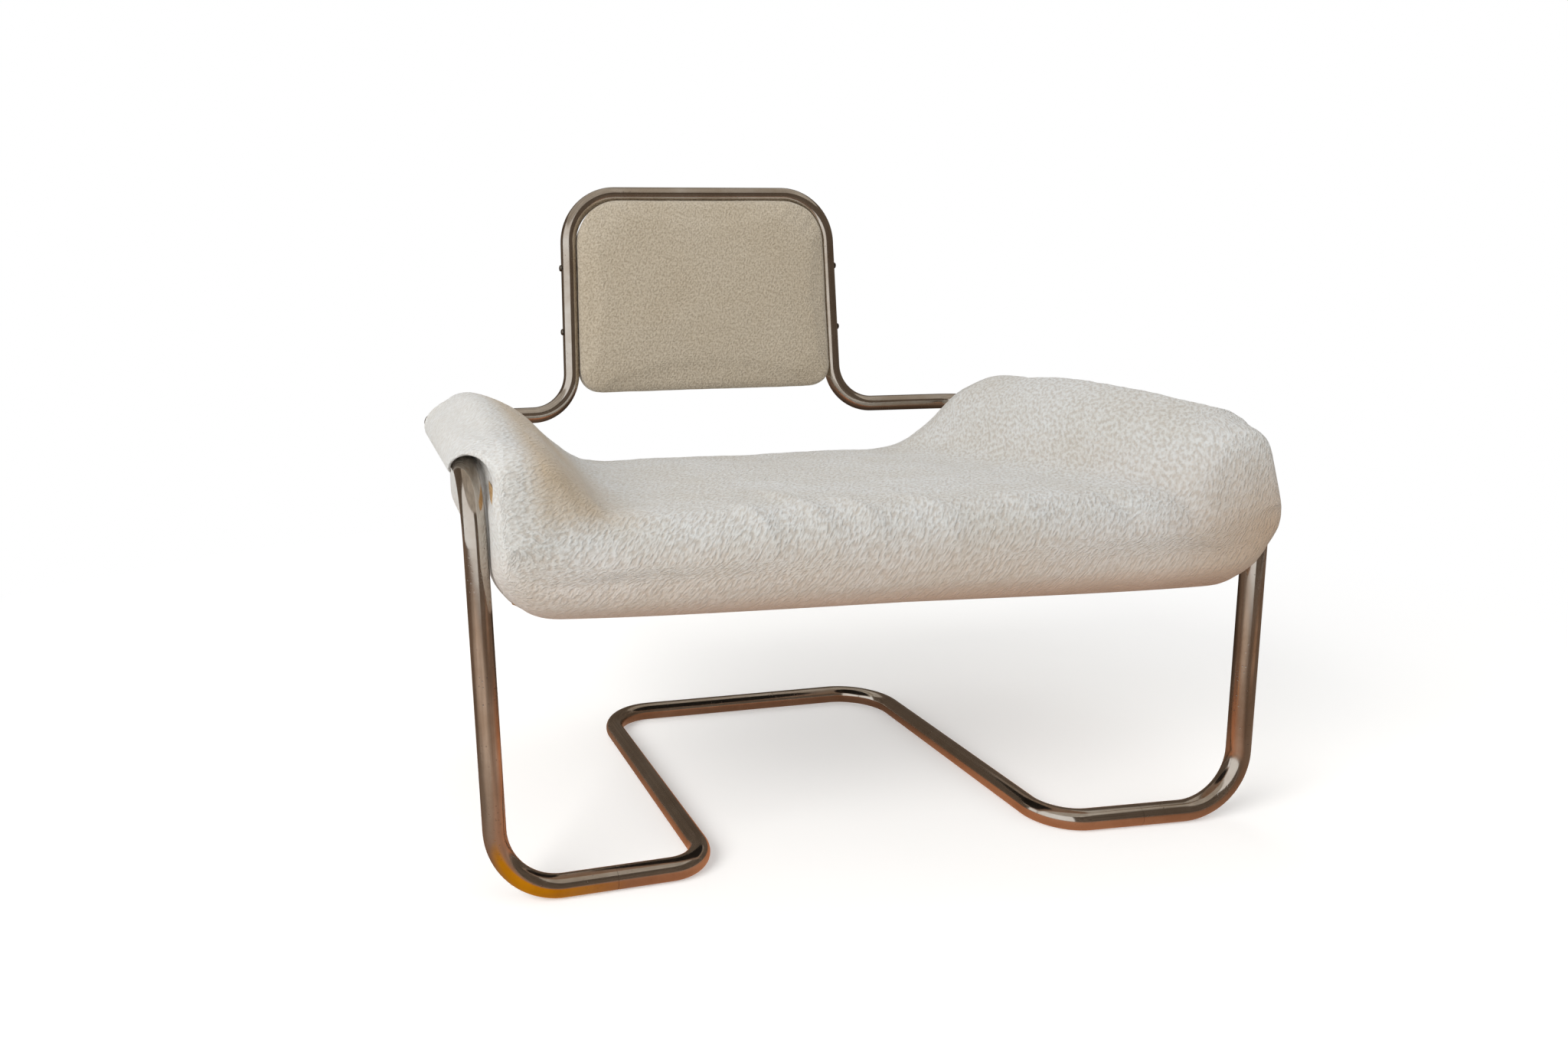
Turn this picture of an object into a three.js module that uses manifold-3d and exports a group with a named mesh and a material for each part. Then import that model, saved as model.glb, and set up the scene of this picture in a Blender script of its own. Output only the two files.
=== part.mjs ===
// Cantilever lounge chair: a bent steel tube frame, a back pad held inside its hoop
// and a padded seat whose two wings lie on the arm rails.
// Millimetres, +Z up. The sitter faces -Y, and the two sides, at -X and +X, mirror each other.
import * as THREE from "three";
import { mergeVertices } from "three/addons/utils/BufferGeometryUtils.js";
import Module from "manifold-3d";

const wasm = await Module();
wasm.setup();

// Tube and the clearances that every piece shares
const tubeDiameter = 25;
const tubeWall = 2;
const fitGap = 0.3;
const cutOverrun = 5;
const weldDistance = 0.001;

// Corners of the frame's centre line before bending, for one side
const hoopTopHalfWidth = 218;
const hoopTopBack = 366;
const hoopTopHeight = 804;
const hoopFootHalfWidth = 225;
const hoopFootBack = 318;
const railRearHeight = 461;
const railHalfWidth = 454;
const railRearBack = 298;
const railFrontBack = -284;
const railFrontHeight = 449;
const footHalfWidth = 444;
const footBack = -310;
const baseTurnHalfWidth = 208;
const baseTurnBack = -299;
const baseRearHalfWidth = 219;
const baseRearBack = 152;

// Bend radii of the centre line
const hoopBend = 78;
const flareBend = 67;
const railBend = 52;
const armBend = 77;
const footBend = 72;
const turnBend = 47;
const baseBend = 69;

// Joints of the frame
const armJointBack = 60;
const footJointHalfWidth = 317;
const sleeveLength = 80;
const sleeveWall = 2.5;
const sleeveScrewReach = 20;
const sleeveScrewDiameter = 5;
const sleeveScrewHeadDiameter = 8;
const sleeveScrewHeadHeight = 1.6;

// Seat pad
const seatFront = -345;
const seatRear = 190;
const seatDrop = 61;
const seatFrontThickness = 105;
const seatRearThickness = 73;
const seatSideClearance = 1;
const seatSideRound = 14;
const seatSideDraw = 4;
const seatDish = 4;
const seatUndersideHollow = 3;
const coverThickness = 2.5;
const shellThickness = 6;
const wingFrontReach = 132;
const wingRearReach = 212;
const wingCrestReach = 38;
const wingCrestOverRail = 45;
const wingFallStart = 40;
const wingFrontFall = 50;
const wingFrontRound = 30;
const wingRearRound = 30;
const wingFoamReach = 204;
const lipFront = -186;
const lipRear = 138;
const lipFade = 24;
const railClearance = 1.1;
const undersideMargin = 78;
const undersideFrontMargin = 75;
const undersideRearMargin = 32;
const undersideClothThickness = 1.2;

// Seat fixings through the arm rails
const seatScrewPlaces = [-150, -12, 126];
const seatScrewAngle = 100;
const seatScrewDiameter = 5;
const seatScrewHeadDiameter = 10;
const seatScrewHeadHeight = 2.4;
const seatInsertDiameter = 8;

// Back pad
const padBottom = 33;
const padSideClearance = 1;
const padBottomCorner = 36;
const padTopCorner = 67;
const padLeastCorner = 8;
const padBoardThickness = 18;
const padFrontDepth = 30;
const padRearDepth = 13.5;
const padBulge = 3.5;
const padRearLap = 13;
const rearPanelThickness = 3.5;
const backScrewDiameter = 6;
const backScrewHeadDiameter = 10;
const backScrewHeadHeight = 3;
const backInsertDiameter = 10;
const backInsertLength = 18;

// Facet counts
const tubeSides = 16;
const boreSides = 8;
const sleeveSides = 12;
const bendSteps = 5;
const screwSides = 10;
const holeSides = 10;
const roundSteps = 4;
const rearRoundSteps = 2;
const cornerSteps = 2;
const padCornerSteps = 4;

// Where the pad, its skin, the shell and the foam end over the rail, in degrees round the rail
const hugAngles = [155, 122];
const padEdgeAngles = [88, 52];
const coverEdgeAngles = [88, 78];
const foamEdgeAngles = [92, 89];
const shellEdgeAngles = [88, 80];
const shellTopAngles = [92, 89];
const lipCrestAngle = 99;
const lipMiddleAngle = 76;
const lipEdgeAngle = 52;
const lipCrestDepth = 26;
const lipMiddleDepth = 14.5;
const lipEdgeDepth = 8;

// Shares that shape the soft forms
const frontRoundShare = 0.46;
const rearRoundShare = 0.38;
const cornerShare = 0.6;
const noseShare = 0.08;
const middleShare = 0.58;
const wingAcrossShares = [0, 0.27, 0.62, 1];
const wingRiseShares = [0.02, 0.3, 0.78, 1];
const sideDrawShares = [2.4, 1.5, 1];
const sideRiseShares = [0.97, 0.88, 0.72];
const sideDropShares = [0.2, 0.5, 1.2];
const sideWallShare = 0.6;
const backScrewShares = [31 / 99, 9 / 11];
const padGrowShares = [-0.6, 0, 0, 1, 0.7, -1.4, -6, -20];
const padDepthShares = [1, 0.84, -0.2, -0.46, -0.66, -0.83, -0.93, -1];

const tubeRadius = tubeDiameter / 2;
const boreRadius = tubeRadius - tubeWall;
const shellOuterInset = coverThickness + 3 * fitGap;
const shellInnerInset = shellOuterInset + shellThickness;
const shellOverRail = tubeRadius + railClearance + shellOuterInset;
const radiansPerDegree = Math.PI / 180;

const steel = { color: 0xb9b4ab, roughness: 0.16, metalness: 1 };
const zinc = { color: 0x8f8c86, roughness: 0.35, metalness: 1 };
const cream = { color: 0xe2ddd3, roughness: 0.95, metalness: 0 };
const taupe = { color: 0xb0a38f, roughness: 0.95, metalness: 0 };
const foam = { color: 0xe8d9a8, roughness: 0.9, metalness: 0 };
const plywood = { color: 0xc79a62, roughness: 0.6, metalness: 0 };
const lining = { color: 0x2b2927, roughness: 0.95, metalness: 0 };

const chair = new THREE.Group();
const model = new THREE.Group();
model.add(chair);
chair.position.y = -(seatFront + hoopTopBack + tubeRadius) / 2;

function addPart(name, geometry, finish, parent = chair) {
  const mesh = new THREE.Mesh(geometry, new THREE.MeshStandardMaterial(finish));
  mesh.name = name;
  parent.add(mesh);
  return mesh;
}

function lerp(a, b, share) {
  return a + (b - a) * share;
}

// Solids for joining and cutting
function solidOf(geometry) {
  const plain = geometry.clone();
  plain.deleteAttribute("normal");
  plain.deleteAttribute("uv");
  const merged = mergeVertices(plain, weldDistance);
  const vertProperties = merged.attributes.position.array;
  const triVerts = new Uint32Array(merged.index.array);
  return new wasm.Manifold(new wasm.Mesh({ numProp: 3, vertProperties, triVerts }));
}

function geometryOf(solid) {
  const mesh = solid.getMesh();
  const geometry = new THREE.BufferGeometry();
  geometry.setAttribute("position", new THREE.BufferAttribute(mesh.vertProperties, 3));
  geometry.setIndex(new THREE.BufferAttribute(mesh.triVerts, 1));
  const flat = geometry.toNonIndexed();
  flat.computeVertexNormals();
  return flat;
}

function cutAway(geometry, cutters) {
  let solid = solidOf(geometry);
  for (const cutter of cutters) solid = solid.subtract(solidOf(cutter));
  return geometryOf(solid);
}

function keepInside(geometry, box) {
  return geometryOf(solidOf(geometry).intersect(solidOf(box)));
}

function boxBetween(low, high) {
  const size = new THREE.Vector3().subVectors(high, low);
  const middle = new THREE.Vector3().addVectors(low, high).multiplyScalar(0.5);
  return new THREE.BoxGeometry(size.x, size.y, size.z).translate(middle.x, middle.y, middle.z);
}

// A round bar whose base centre is at one end and whose axis points along a direction
function rodFrom(base, direction, length, radius, sides) {
  const rod = new THREE.CylinderGeometry(radius, radius, length, sides).translate(0, length / 2, 0);
  return turnTo(rod, base, direction);
}

function turnTo(geometry, base, direction) {
  const turn = new THREE.Quaternion().setFromUnitVectors(new THREE.Vector3(0, 1, 0), direction);
  return geometry.applyQuaternion(turn).translate(base.x, base.y, base.z);
}

// The tube's centre line: straight runs and round bends, sampled only where it bends
class BentLine extends THREE.Curve {
  constructor(corners, radii) {
    super();
    this.points = [corners[0].clone()];
    this.tangents = [new THREE.Vector3().subVectors(corners[1], corners[0]).normalize()];
    radii.forEach((radius, i) => this.bend(corners[i], corners[i + 1], corners[i + 2], radius));
    const last = corners.length - 1;
    this.points.push(corners[last].clone());
    this.tangents.push(new THREE.Vector3().subVectors(corners[last], corners[last - 1]).normalize());
  }

  bend(before, corner, after, radius) {
    const into = new THREE.Vector3().subVectors(corner, before).normalize();
    const out = new THREE.Vector3().subVectors(after, corner).normalize();
    const turn = into.angleTo(out);
    const start = corner.clone().addScaledVector(into, -radius * Math.tan(turn / 2));
    const side = out.clone().addScaledVector(into, -into.dot(out)).normalize();
    for (let k = 0; k <= bendSteps; k++) {
      const angle = (turn * k) / bendSteps;
      const point = start.clone().addScaledVector(into, radius * Math.sin(angle));
      this.points.push(point.addScaledVector(side, radius * (1 - Math.cos(angle))));
      const tangent = into.clone().multiplyScalar(Math.cos(angle)).addScaledVector(side, Math.sin(angle));
      this.tangents.push(tangent.normalize());
    }
  }

  getPoint(t, target = new THREE.Vector3()) {
    const place = t * (this.points.length - 1);
    const i = Math.min(Math.floor(place + weldDistance), this.points.length - 2);
    return target.lerpVectors(this.points[i], this.points[i + 1], place - i);
  }

  getPointAt(t, target) {
    return this.getPoint(t, target);
  }

  getTangentAt(t, target = new THREE.Vector3()) {
    return target.copy(this.tangents[Math.round(t * (this.points.length - 1))]);
  }
}

// A regular polygon whose flats, or whose corners, touch the given radius
function polygonPoints(radius, sides, flatsTouch) {
  const reach = flatsTouch ? radius / Math.cos(Math.PI / sides) : radius;
  const points = [];
  for (let i = 0; i < sides; i++) {
    const angle = ((i + 0.5) * 2 * Math.PI) / sides;
    points.push(new THREE.Vector2(reach * Math.cos(angle), reach * Math.sin(angle)));
  }
  return points;
}

function tubeAlong(line, outer, inner, outerSides, innerSides, flatsTouch) {
  const section = new THREE.Shape(polygonPoints(outer, outerSides, flatsTouch));
  section.holes.push(new THREE.Path(polygonPoints(inner, innerSides, true)));
  return new THREE.ExtrudeGeometry(section, { steps: line.points.length - 1, extrudePath: line });
}

// Places on the frame
function cornerAt(side, halfWidth, back, height) {
  return new THREE.Vector3(side * halfWidth, back, height);
}

const footHeight = tubeRadius;
const hoopTop = (side) => cornerAt(side, hoopTopHalfWidth, hoopTopBack, hoopTopHeight);
const hoopFoot = (side) => cornerAt(side, hoopFootHalfWidth, hoopFootBack, railRearHeight);
const railRear = (side) => cornerAt(side, railHalfWidth, railRearBack, railRearHeight);
const railFront = (side) => cornerAt(side, railHalfWidth, railFrontBack, railFrontHeight);
const footCorner = (side) => cornerAt(side, footHalfWidth, footBack, footHeight);
const baseTurn = (side) => cornerAt(side, baseTurnHalfWidth, baseTurnBack, footHeight);
const baseRear = (side) => cornerAt(side, baseRearHalfWidth, baseRearBack, footHeight);

function railHeightAt(back) {
  return lerp(railRearHeight, railFrontHeight, (railRearBack - back) / (railRearBack - railFrontBack));
}

function railPoint(side, back) {
  return cornerAt(side, railHalfWidth, back, railHeightAt(back));
}

function footPoint(side, halfWidth) {
  const share = (footHalfWidth - halfWidth) / (footHalfWidth - baseTurnHalfWidth);
  return new THREE.Vector3().lerpVectors(footCorner(side), baseTurn(side), share);
}

function legHalfWidthAt(height) {
  const share = (railFrontHeight - height) / (railFrontHeight - footHeight);
  return lerp(railHalfWidth, footHalfWidth, share);
}

function uprightPoint(side, height) {
  const share = (height - railRearHeight) / (hoopTopHeight - railRearHeight);
  return new THREE.Vector3().lerpVectors(hoopFoot(side), hoopTop(side), share);
}

// Frame
const down = new THREE.Vector3(0, 0, -1);
const backward = new THREE.Vector3(0, 1, 0);
const sides = [
  { name: "left", sign: -1 },
  { name: "right", sign: 1 },
];

function outwardFrom(side) {
  return new THREE.Vector3(side.sign, 0, 0);
}

function jointPlaces(side) {
  const railRun = new THREE.Vector3().subVectors(railFront(side.sign), railRear(side.sign)).normalize();
  const footRun = new THREE.Vector3().subVectors(baseTurn(side.sign), footCorner(side.sign)).normalize();
  return [
    { name: "arm", middle: railPoint(side.sign, armJointBack), run: railRun, head: down },
    { name: "foot", middle: footPoint(side.sign, footJointHalfWidth), run: footRun, head: backward },
  ];
}

function sleeveScrews(side, joint) {
  return [-1, 1].map((end, i) => ({
    name: side.name + "_" + joint.name + "_sleeve_screw_" + (i + 1),
    centre: joint.middle.clone().addScaledVector(joint.run, end * sleeveScrewReach),
    head: joint.head,
    reach: boreRadius / 2,
    diameter: sleeveScrewDiameter,
    headDiameter: sleeveScrewHeadDiameter,
    headHeight: sleeveScrewHeadHeight,
  }));
}

function seatScrews(side) {
  const angle = seatScrewAngle * radiansPerDegree;
  return seatScrewPlaces.map((back, i) => ({
    name: side.name + "_seat_screw_" + (i + 1),
    centre: railPoint(side.sign, back),
    head: new THREE.Vector3(-side.sign * Math.cos(angle), 0, -Math.sin(angle)),
    reach: -(shellOverRail + shellThickness - 2 * fitGap),
    diameter: seatScrewDiameter,
    headDiameter: seatScrewHeadDiameter,
    headHeight: seatScrewHeadHeight,
  }));
}

// The back's screws stand along the straight run of each upright, between its bends
function backScrews(side) {
  return backScrewShares.map((share, i) => ({
    name: side.name + "_back_screw_" + (i + 1),
    centre: uprightPoint(side.sign, lerp(railRearHeight + flareBend, hoopTopHeight - hoopBend, share)),
    head: outwardFrom(side),
    reach: -(tubeRadius + padSideClearance + coverThickness + backInsertLength),
    diameter: backScrewDiameter,
    headDiameter: backScrewHeadDiameter,
    headHeight: backScrewHeadHeight,
  }));
}

// A domed screw whose head rests on the tube, reaching in to a level measured from the tube's axis
function screwGeometry(screw) {
  const radius = screw.diameter / 2;
  const headRadius = screw.headDiameter / 2;
  const length = tubeRadius + fitGap - screw.reach;
  const profile = [
    [0, -length],
    [radius, -length],
    [radius, 0],
    [headRadius, 0],
    [headRadius, screw.headHeight / 3],
    [headRadius / 2, screw.headHeight],
    [0, screw.headHeight],
  ];
  const lathe = new THREE.LatheGeometry(profile.map(([r, h]) => new THREE.Vector2(r, h)), screwSides);
  const base = screw.centre.clone().addScaledVector(screw.head, tubeRadius + fitGap);
  return turnTo(lathe, base, screw.head);
}

function screwHole(screw, far = screw.reach) {
  const base = screw.centre.clone().addScaledVector(screw.head, tubeRadius + cutOverrun);
  const inward = screw.head.clone().negate();
  const length = tubeRadius + cutOverrun - far + cutOverrun;
  return rodFrom(base, inward, length, screw.diameter / 2 + fitGap, holeSides);
}

function insertGeometry(base, direction, length, outer, inner) {
  const profile = [[inner, 0], [outer, 0], [outer, length], [inner, length], [inner, 0]];
  const lathe = new THREE.LatheGeometry(profile.map(([r, h]) => new THREE.Vector2(r, h)), screwSides);
  return turnTo(lathe, base, direction);
}

function addFrame() {
  const holes = { hoop: [], base: [] };
  const joints = {};
  for (const side of sides) {
    joints[side.name] = jointPlaces(side);
    const armScrews = sleeveScrews(side, joints[side.name][0]);
    const footScrews = sleeveScrews(side, joints[side.name][1]);
    const seatHoles = seatScrews(side).map((screw) => ({ back: screw.centre.y, hole: screwHole(screw) }));
    const rearSeatHoles = seatHoles.filter((h) => h.back > armJointBack).map((h) => h.hole);
    const frontSeatHoles = seatHoles.filter((h) => h.back <= armJointBack).map((h) => h.hole);
    const backHoles = backScrews(side).map((screw) => screwHole(screw));
    holes.hoop.push(screwHole(armScrews[0], 0), ...rearSeatHoles, ...backHoles);
    holes.base.push(screwHole(footScrews[1], 0));
    const legHoles = [screwHole(armScrews[1], 0), screwHole(footScrews[0], 0), ...frontSeatHoles];
    addPart(side.name + "_arm_leg_tube", cutAway(legTube(side, joints[side.name]), legHoles), steel);
    joints[side.name].forEach((joint) => addSleeve(side, joint));
  }
  addPart("back_hoop_tube", cutAway(hoopTube(joints), holes.hoop), steel);
  addPart("base_tube", cutAway(baseTube(joints), holes.base), steel);
}

// Only the base has flats at its full radius, because it lies on the floor
function frameTube(corners, radii, flatsTouch) {
  return tubeAlong(new BentLine(corners, radii), tubeRadius, boreRadius, tubeSides, boreSides, flatsTouch);
}

function jointEnd(joint, end) {
  return joint.middle.clone().addScaledVector(joint.run, (end * fitGap) / 2);
}

function legTube(side, [arm, foot]) {
  const s = side.sign;
  const corners = [jointEnd(arm, 1), railFront(s), footCorner(s), jointEnd(foot, -1)];
  return frameTube(corners, [armBend, footBend], false);
}

function hoopTube(joints) {
  const leftEnd = jointEnd(joints.left[0], -1);
  const rightEnd = jointEnd(joints.right[0], -1);
  const leftCorners = [leftEnd, railRear(-1), hoopFoot(-1), hoopTop(-1)];
  const rightCorners = [hoopTop(1), hoopFoot(1), railRear(1), rightEnd];
  const radii = [railBend, flareBend, hoopBend, hoopBend, flareBend, railBend];
  return frameTube([...leftCorners, ...rightCorners], radii, false);
}

function baseTube(joints) {
  const leftEnd = jointEnd(joints.left[1], 1);
  const rightEnd = jointEnd(joints.right[1], 1);
  const corners = [leftEnd, baseTurn(-1), baseRear(-1), baseRear(1), baseTurn(1), rightEnd];
  return frameTube(corners, [turnBend, baseBend, baseBend, turnBend], true);
}

function addSleeve(side, joint) {
  const half = sleeveLength / 2;
  const start = joint.middle.clone().addScaledVector(joint.run, -half);
  const end = joint.middle.clone().addScaledVector(joint.run, half);
  const line = new BentLine([start, end], []);
  const outer = boreRadius - fitGap;
  const sleeve = tubeAlong(line, outer, outer - sleeveWall, sleeveSides, boreSides, false);
  const screws = sleeveScrews(side, joint);
  const name = side.name + "_" + joint.name + "_sleeve";
  addPart(name, cutAway(sleeve, screws.map((screw) => screwHole(screw, 0))), zinc);
  for (const screw of screws) addPart(screw.name, screwGeometry(screw), zinc);
}

// A closed body through rings of one point count, the first ring at the front
function loft(rings) {
  const count = rings[0].length;
  const positions = rings.flatMap((ring) => ring.flatMap((point) => point.toArray()));
  const index = [];
  for (let j = 0; j < rings.length - 1; j++) {
    for (let i = 0; i < count; i++) {
      const next = (i + 1) % count;
      const near = j * count;
      const far = near + count;
      const falling = rings[j][i].distanceTo(rings[j + 1][next]);
      const rising = rings[j + 1][i].distanceTo(rings[j][next]);
      if (falling < rising) index.push(near + i, far + i, far + next, near + i, far + next, near + next);
      else index.push(near + i, far + i, near + next, far + i, far + next, near + next);
    }
  }
  const last = (rings.length - 1) * count;
  for (const [a, b, c] of capFaces(rings[0])) index.push(a, b, c);
  for (const [a, b, c] of capFaces(rings[rings.length - 1])) index.push(last + c, last + b, last + a);
  const geometry = new THREE.BufferGeometry();
  geometry.setAttribute("position", new THREE.Float32BufferAttribute(positions, 3));
  geometry.setIndex(index);
  geometry.computeVertexNormals();
  return geometry;
}

function capFaces(ring) {
  return THREE.ShapeUtils.triangulateShape(ring.map((point) => new THREE.Vector2(point.x, point.z)), []);
}

// Seat sections: half chains from the middle outwards, in x and z
const seatTop = railRearHeight - seatDrop;
const wingRise = seatDrop + wingCrestOverRail;
const frontRound = seatFrontThickness * frontRoundShare;
const rearRound = seatRearThickness * rearRoundShare;
const cornerHeight = seatTop - seatFrontThickness * (1 - cornerShare);
const legNarrowest = Math.min(railHalfWidth, legHalfWidthAt(cornerHeight));
const seatHalfWidth = legNarrowest - tubeRadius - seatSideClearance;
const wingFoamHalfWidth = railHalfWidth - wingFoamReach;

function seatThicknessAt(back) {
  return lerp(seatFrontThickness, seatRearThickness, (back - seatFront) / (seatRear - seatFront));
}

function noseHeightAt(back) {
  return seatTop - seatThicknessAt(back) / 2;
}

// Each wing is measured inwards from its rail
function wingStartAt(back) {
  return railHalfWidth - lerp(wingFrontReach, wingRearReach, (back - seatFront) / (seatRear - seatFront));
}

// How full the section is: one along the seat, small at its rounded front and rear ends
function fullnessAt(back) {
  const reach = Math.min((back - seatFront) / frontRound, (seatRear - back) / rearRound, 1);
  return Math.max(noseShare, Math.sqrt(Math.max(0, 1 - (1 - reach) * (1 - reach))));
}

function lipShareAt(back) {
  const share = Math.min((back - lipFront) / lipFade + 1, (lipRear - back) / lipFade + 1, 1);
  return Math.max(0, share);
}

function smooth(share) {
  const held = Math.min(Math.max(share, 0), 1);
  return held * held * (3 - 2 * held);
}

function wingRiseAt(back) {
  const fall = Math.max(0, (wingFallStart - back) / (wingFallStart - seatFront));
  const ends = smooth((back - seatFront) / wingFrontRound) * smooth((seatRear - back) / wingRearRound);
  return (wingRise - wingFrontFall * fall * fall) * ends;
}

// Puts an inset chain at its station, drawn together near the ends and moved in from them
function placed(points, back, inset) {
  const full = fullnessAt(back);
  const nose = noseHeightAt(back);
  const narrow = 1 - ((1 - full) * seatSideRound) / seatHalfWidth;
  const inward = back < lipFront - lipFade ? inset : back > lipRear + lipFade ? -inset : 0;
  return points.map(([x, z]) => new THREE.Vector3(x * narrow, back + inward, nose + (z - nose) * full));
}

// A place round the rail, at a distance from the surface that hugs it
function roundRail(back, degrees, depth) {
  const angle = degrees * radiansPerDegree;
  const reach = tubeRadius + railClearance + depth;
  return [railHalfWidth + reach * Math.cos(angle), railHeightAt(back) + reach * Math.sin(angle)];
}

// Swings a point round the rail from its place on the plain side to its place on the lip
function swung(back, plain, hooked, lip) {
  const height = railHeightAt(back);
  const start = Math.atan2(plain[1] - height, plain[0] - railHalfWidth);
  const end = Math.atan2(hooked[1] - height, hooked[0] - railHalfWidth);
  const turn = start < 0 ? start + 2 * Math.PI : start;
  const angle = lerp(turn, end, lip);
  const plainReach = Math.hypot(plain[0] - railHalfWidth, plain[1] - height);
  const reach = lerp(plainReach, Math.hypot(hooked[0] - railHalfWidth, hooked[1] - height), lip);
  return [railHalfWidth + reach * Math.cos(angle), height + reach * Math.sin(angle)];
}

function between(a, b, share) {
  return [lerp(a[0], b[0], share), lerp(a[1], b[1], share)];
}

// The lip's upper face from the crest over the rail down to its edge
function lipFace(back, inset, edgeAngle) {
  const crest = roundRail(back, lipCrestAngle, lipCrestDepth - inset);
  const middle = roundRail(back, lipMiddleAngle, lipMiddleDepth - inset);
  const edge = roundRail(back, lipEdgeAngle, lipEdgeDepth - inset);
  if (edgeAngle > lipMiddleAngle) {
    const share = (lipCrestAngle - edgeAngle) / (lipCrestAngle - lipMiddleAngle);
    return [crest, between(crest, middle, share / 2), between(crest, middle, share)];
  }
  const share = (lipMiddleAngle - edgeAngle) / (lipMiddleAngle - lipEdgeAngle);
  return [crest, middle, between(middle, edge, share)];
}

// The top from the outer edge to the middle
function topChain(back, inset, edgeAngles) {
  const lip = lipShareAt(back);
  const rise = wingRiseAt(back);
  const start = wingStartAt(back);
  const points = wingAcrossShares.map((across, i) => [
    lerp(start, railHalfWidth - wingCrestReach, across),
    seatTop + seatDish * (1 - (across * across) / 2) + rise * wingRiseShares[i],
  ]);
  points.unshift([0, seatTop]);
  const inner = insetChain(points, inset);
  lipFace(back, inset, edgeAngles[edgeAngles.length - 1]).forEach((hooked, k) => {
    inner.push(swung(back, [sideTopWidth(k, inset), sideTopHeight(back, k, inset)], hooked, lip));
  });
  return inner.reverse();
}

function sideTopWidth(step, inset) {
  return seatHalfWidth - seatSideDraw * sideDrawShares[step] - inset;
}

function sideTopHeight(back, step, inset) {
  const edge = seatTop + seatDish / 2 - seatSideDraw * sideDropShares[step];
  return edge + wingRiseAt(back) * sideRiseShares[step] - inset;
}

// Moves an open chain to its right-hand side, which is below it when it runs outwards
function insetChain(points, inset) {
  return points.map((point, i) => {
    const before = points[Math.max(i - 1, 0)];
    const after = points[Math.min(i + 1, points.length - 1)];
    const run = [after[0] - before[0], after[1] - before[1]];
    const length = Math.hypot(run[0], run[1]);
    if (i === 0) return [point[0], point[1] - inset];
    return [point[0] + (inset * run[1]) / length, point[1] - (inset * run[0]) / length];
  });
}

// The underside from the middle, round the lower corner, up the side and over the rail
function underChain(back, inset, edgeAngles) {
  const bottom = seatTop - seatThicknessAt(back) + inset;
  const wall = seatHalfWidth - inset;
  const radius = seatThicknessAt(back) * cornerShare - inset;
  const lip = lipShareAt(back);
  const points = [[0, bottom + seatUndersideHollow]];
  for (let k = 0; k <= cornerSteps; k++) {
    const angle = (Math.PI / 2) * (k / cornerSteps);
    points.push([wall - radius + radius * Math.sin(angle), bottom + radius * (1 - Math.cos(angle))]);
  }
  const hug = tubeRadius + railClearance + inset;
  const edgeTop = sideTopHeight(back, sideRiseShares.length - 1, inset) - inset;
  const plainTop = lerp(bottom + radius, edgeTop, sideWallShare);
  points.push([wall, lerp(plainTop, railHeightAt(back) - hug, lip)]);
  const angles = [...hugAngles, ...edgeAngles];
  angles.forEach((degrees, k) => {
    const share = (k + 1) / (angles.length + 1);
    const plain = [wall - seatSideDraw * share * share, lerp(plainTop, edgeTop, share)];
    points.push(swung(back, plain, roundRail(back, degrees, inset), lip));
  });
  return points;
}

function mirrorChain(points) {
  return points.filter((point) => point.x > 0).map(({ x, y, z }) => new THREE.Vector3(-x, y, z)).reverse();
}

function ringFrom(outward, inward) {
  return [...outward, ...inward, ...mirrorChain([...outward, ...inward])];
}

function padRing(back, underInset, topInset, edgeAngles) {
  const under = placed(underChain(back, underInset, edgeAngles), back, underInset);
  return ringFrom(under, placed(topChain(back, topInset, edgeAngles), back, topInset));
}

function endStations(end, round, steps) {
  const stations = [];
  for (let k = 0; k <= steps; k++) stations.push(end + round * (1 - Math.cos((Math.PI / 2) * (k / steps))));
  return stations;
}

const seatStations = [
  ...endStations(seatFront, frontRound, roundSteps),
  lerp(seatFront + frontRound, lipFront - lipFade, 1 / 2),
  lipFront - lipFade,
  lipFront - lipFade / 2,
  lipFront,
  lerp(lipFront, lipRear, middleShare),
  lipRear,
  lipRear + lipFade / 2,
  lipRear + lipFade,
  ...endStations(seatRear, -rearRound, rearRoundSteps).slice(0, rearRoundSteps).reverse(),
];

function padBody(underInset, topInset, edgeAngles) {
  return loft(seatStations.map((back) => padRing(back, underInset, topInset, edgeAngles)));
}

// The moulded shell runs close above the cover's underside and out over the rails
const shellFront = seatStations[roundSteps];
const shellRear = seatStations[seatStations.length - rearRoundSteps];
const foamInset = coverThickness + 2 * fitGap;

function shellBody() {
  const stations = seatStations.filter((back) => back >= shellFront && back <= shellRear);
  const rings = stations.map((back) => {
    const lower = underChain(back, shellOuterInset, shellEdgeAngles);
    const upper = underChain(back, shellInnerInset, shellTopAngles).reverse();
    return ringFrom(placed(lower, back, shellOuterInset), placed(upper, back, shellInnerInset));
  });
  return loft(rings);
}

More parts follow.
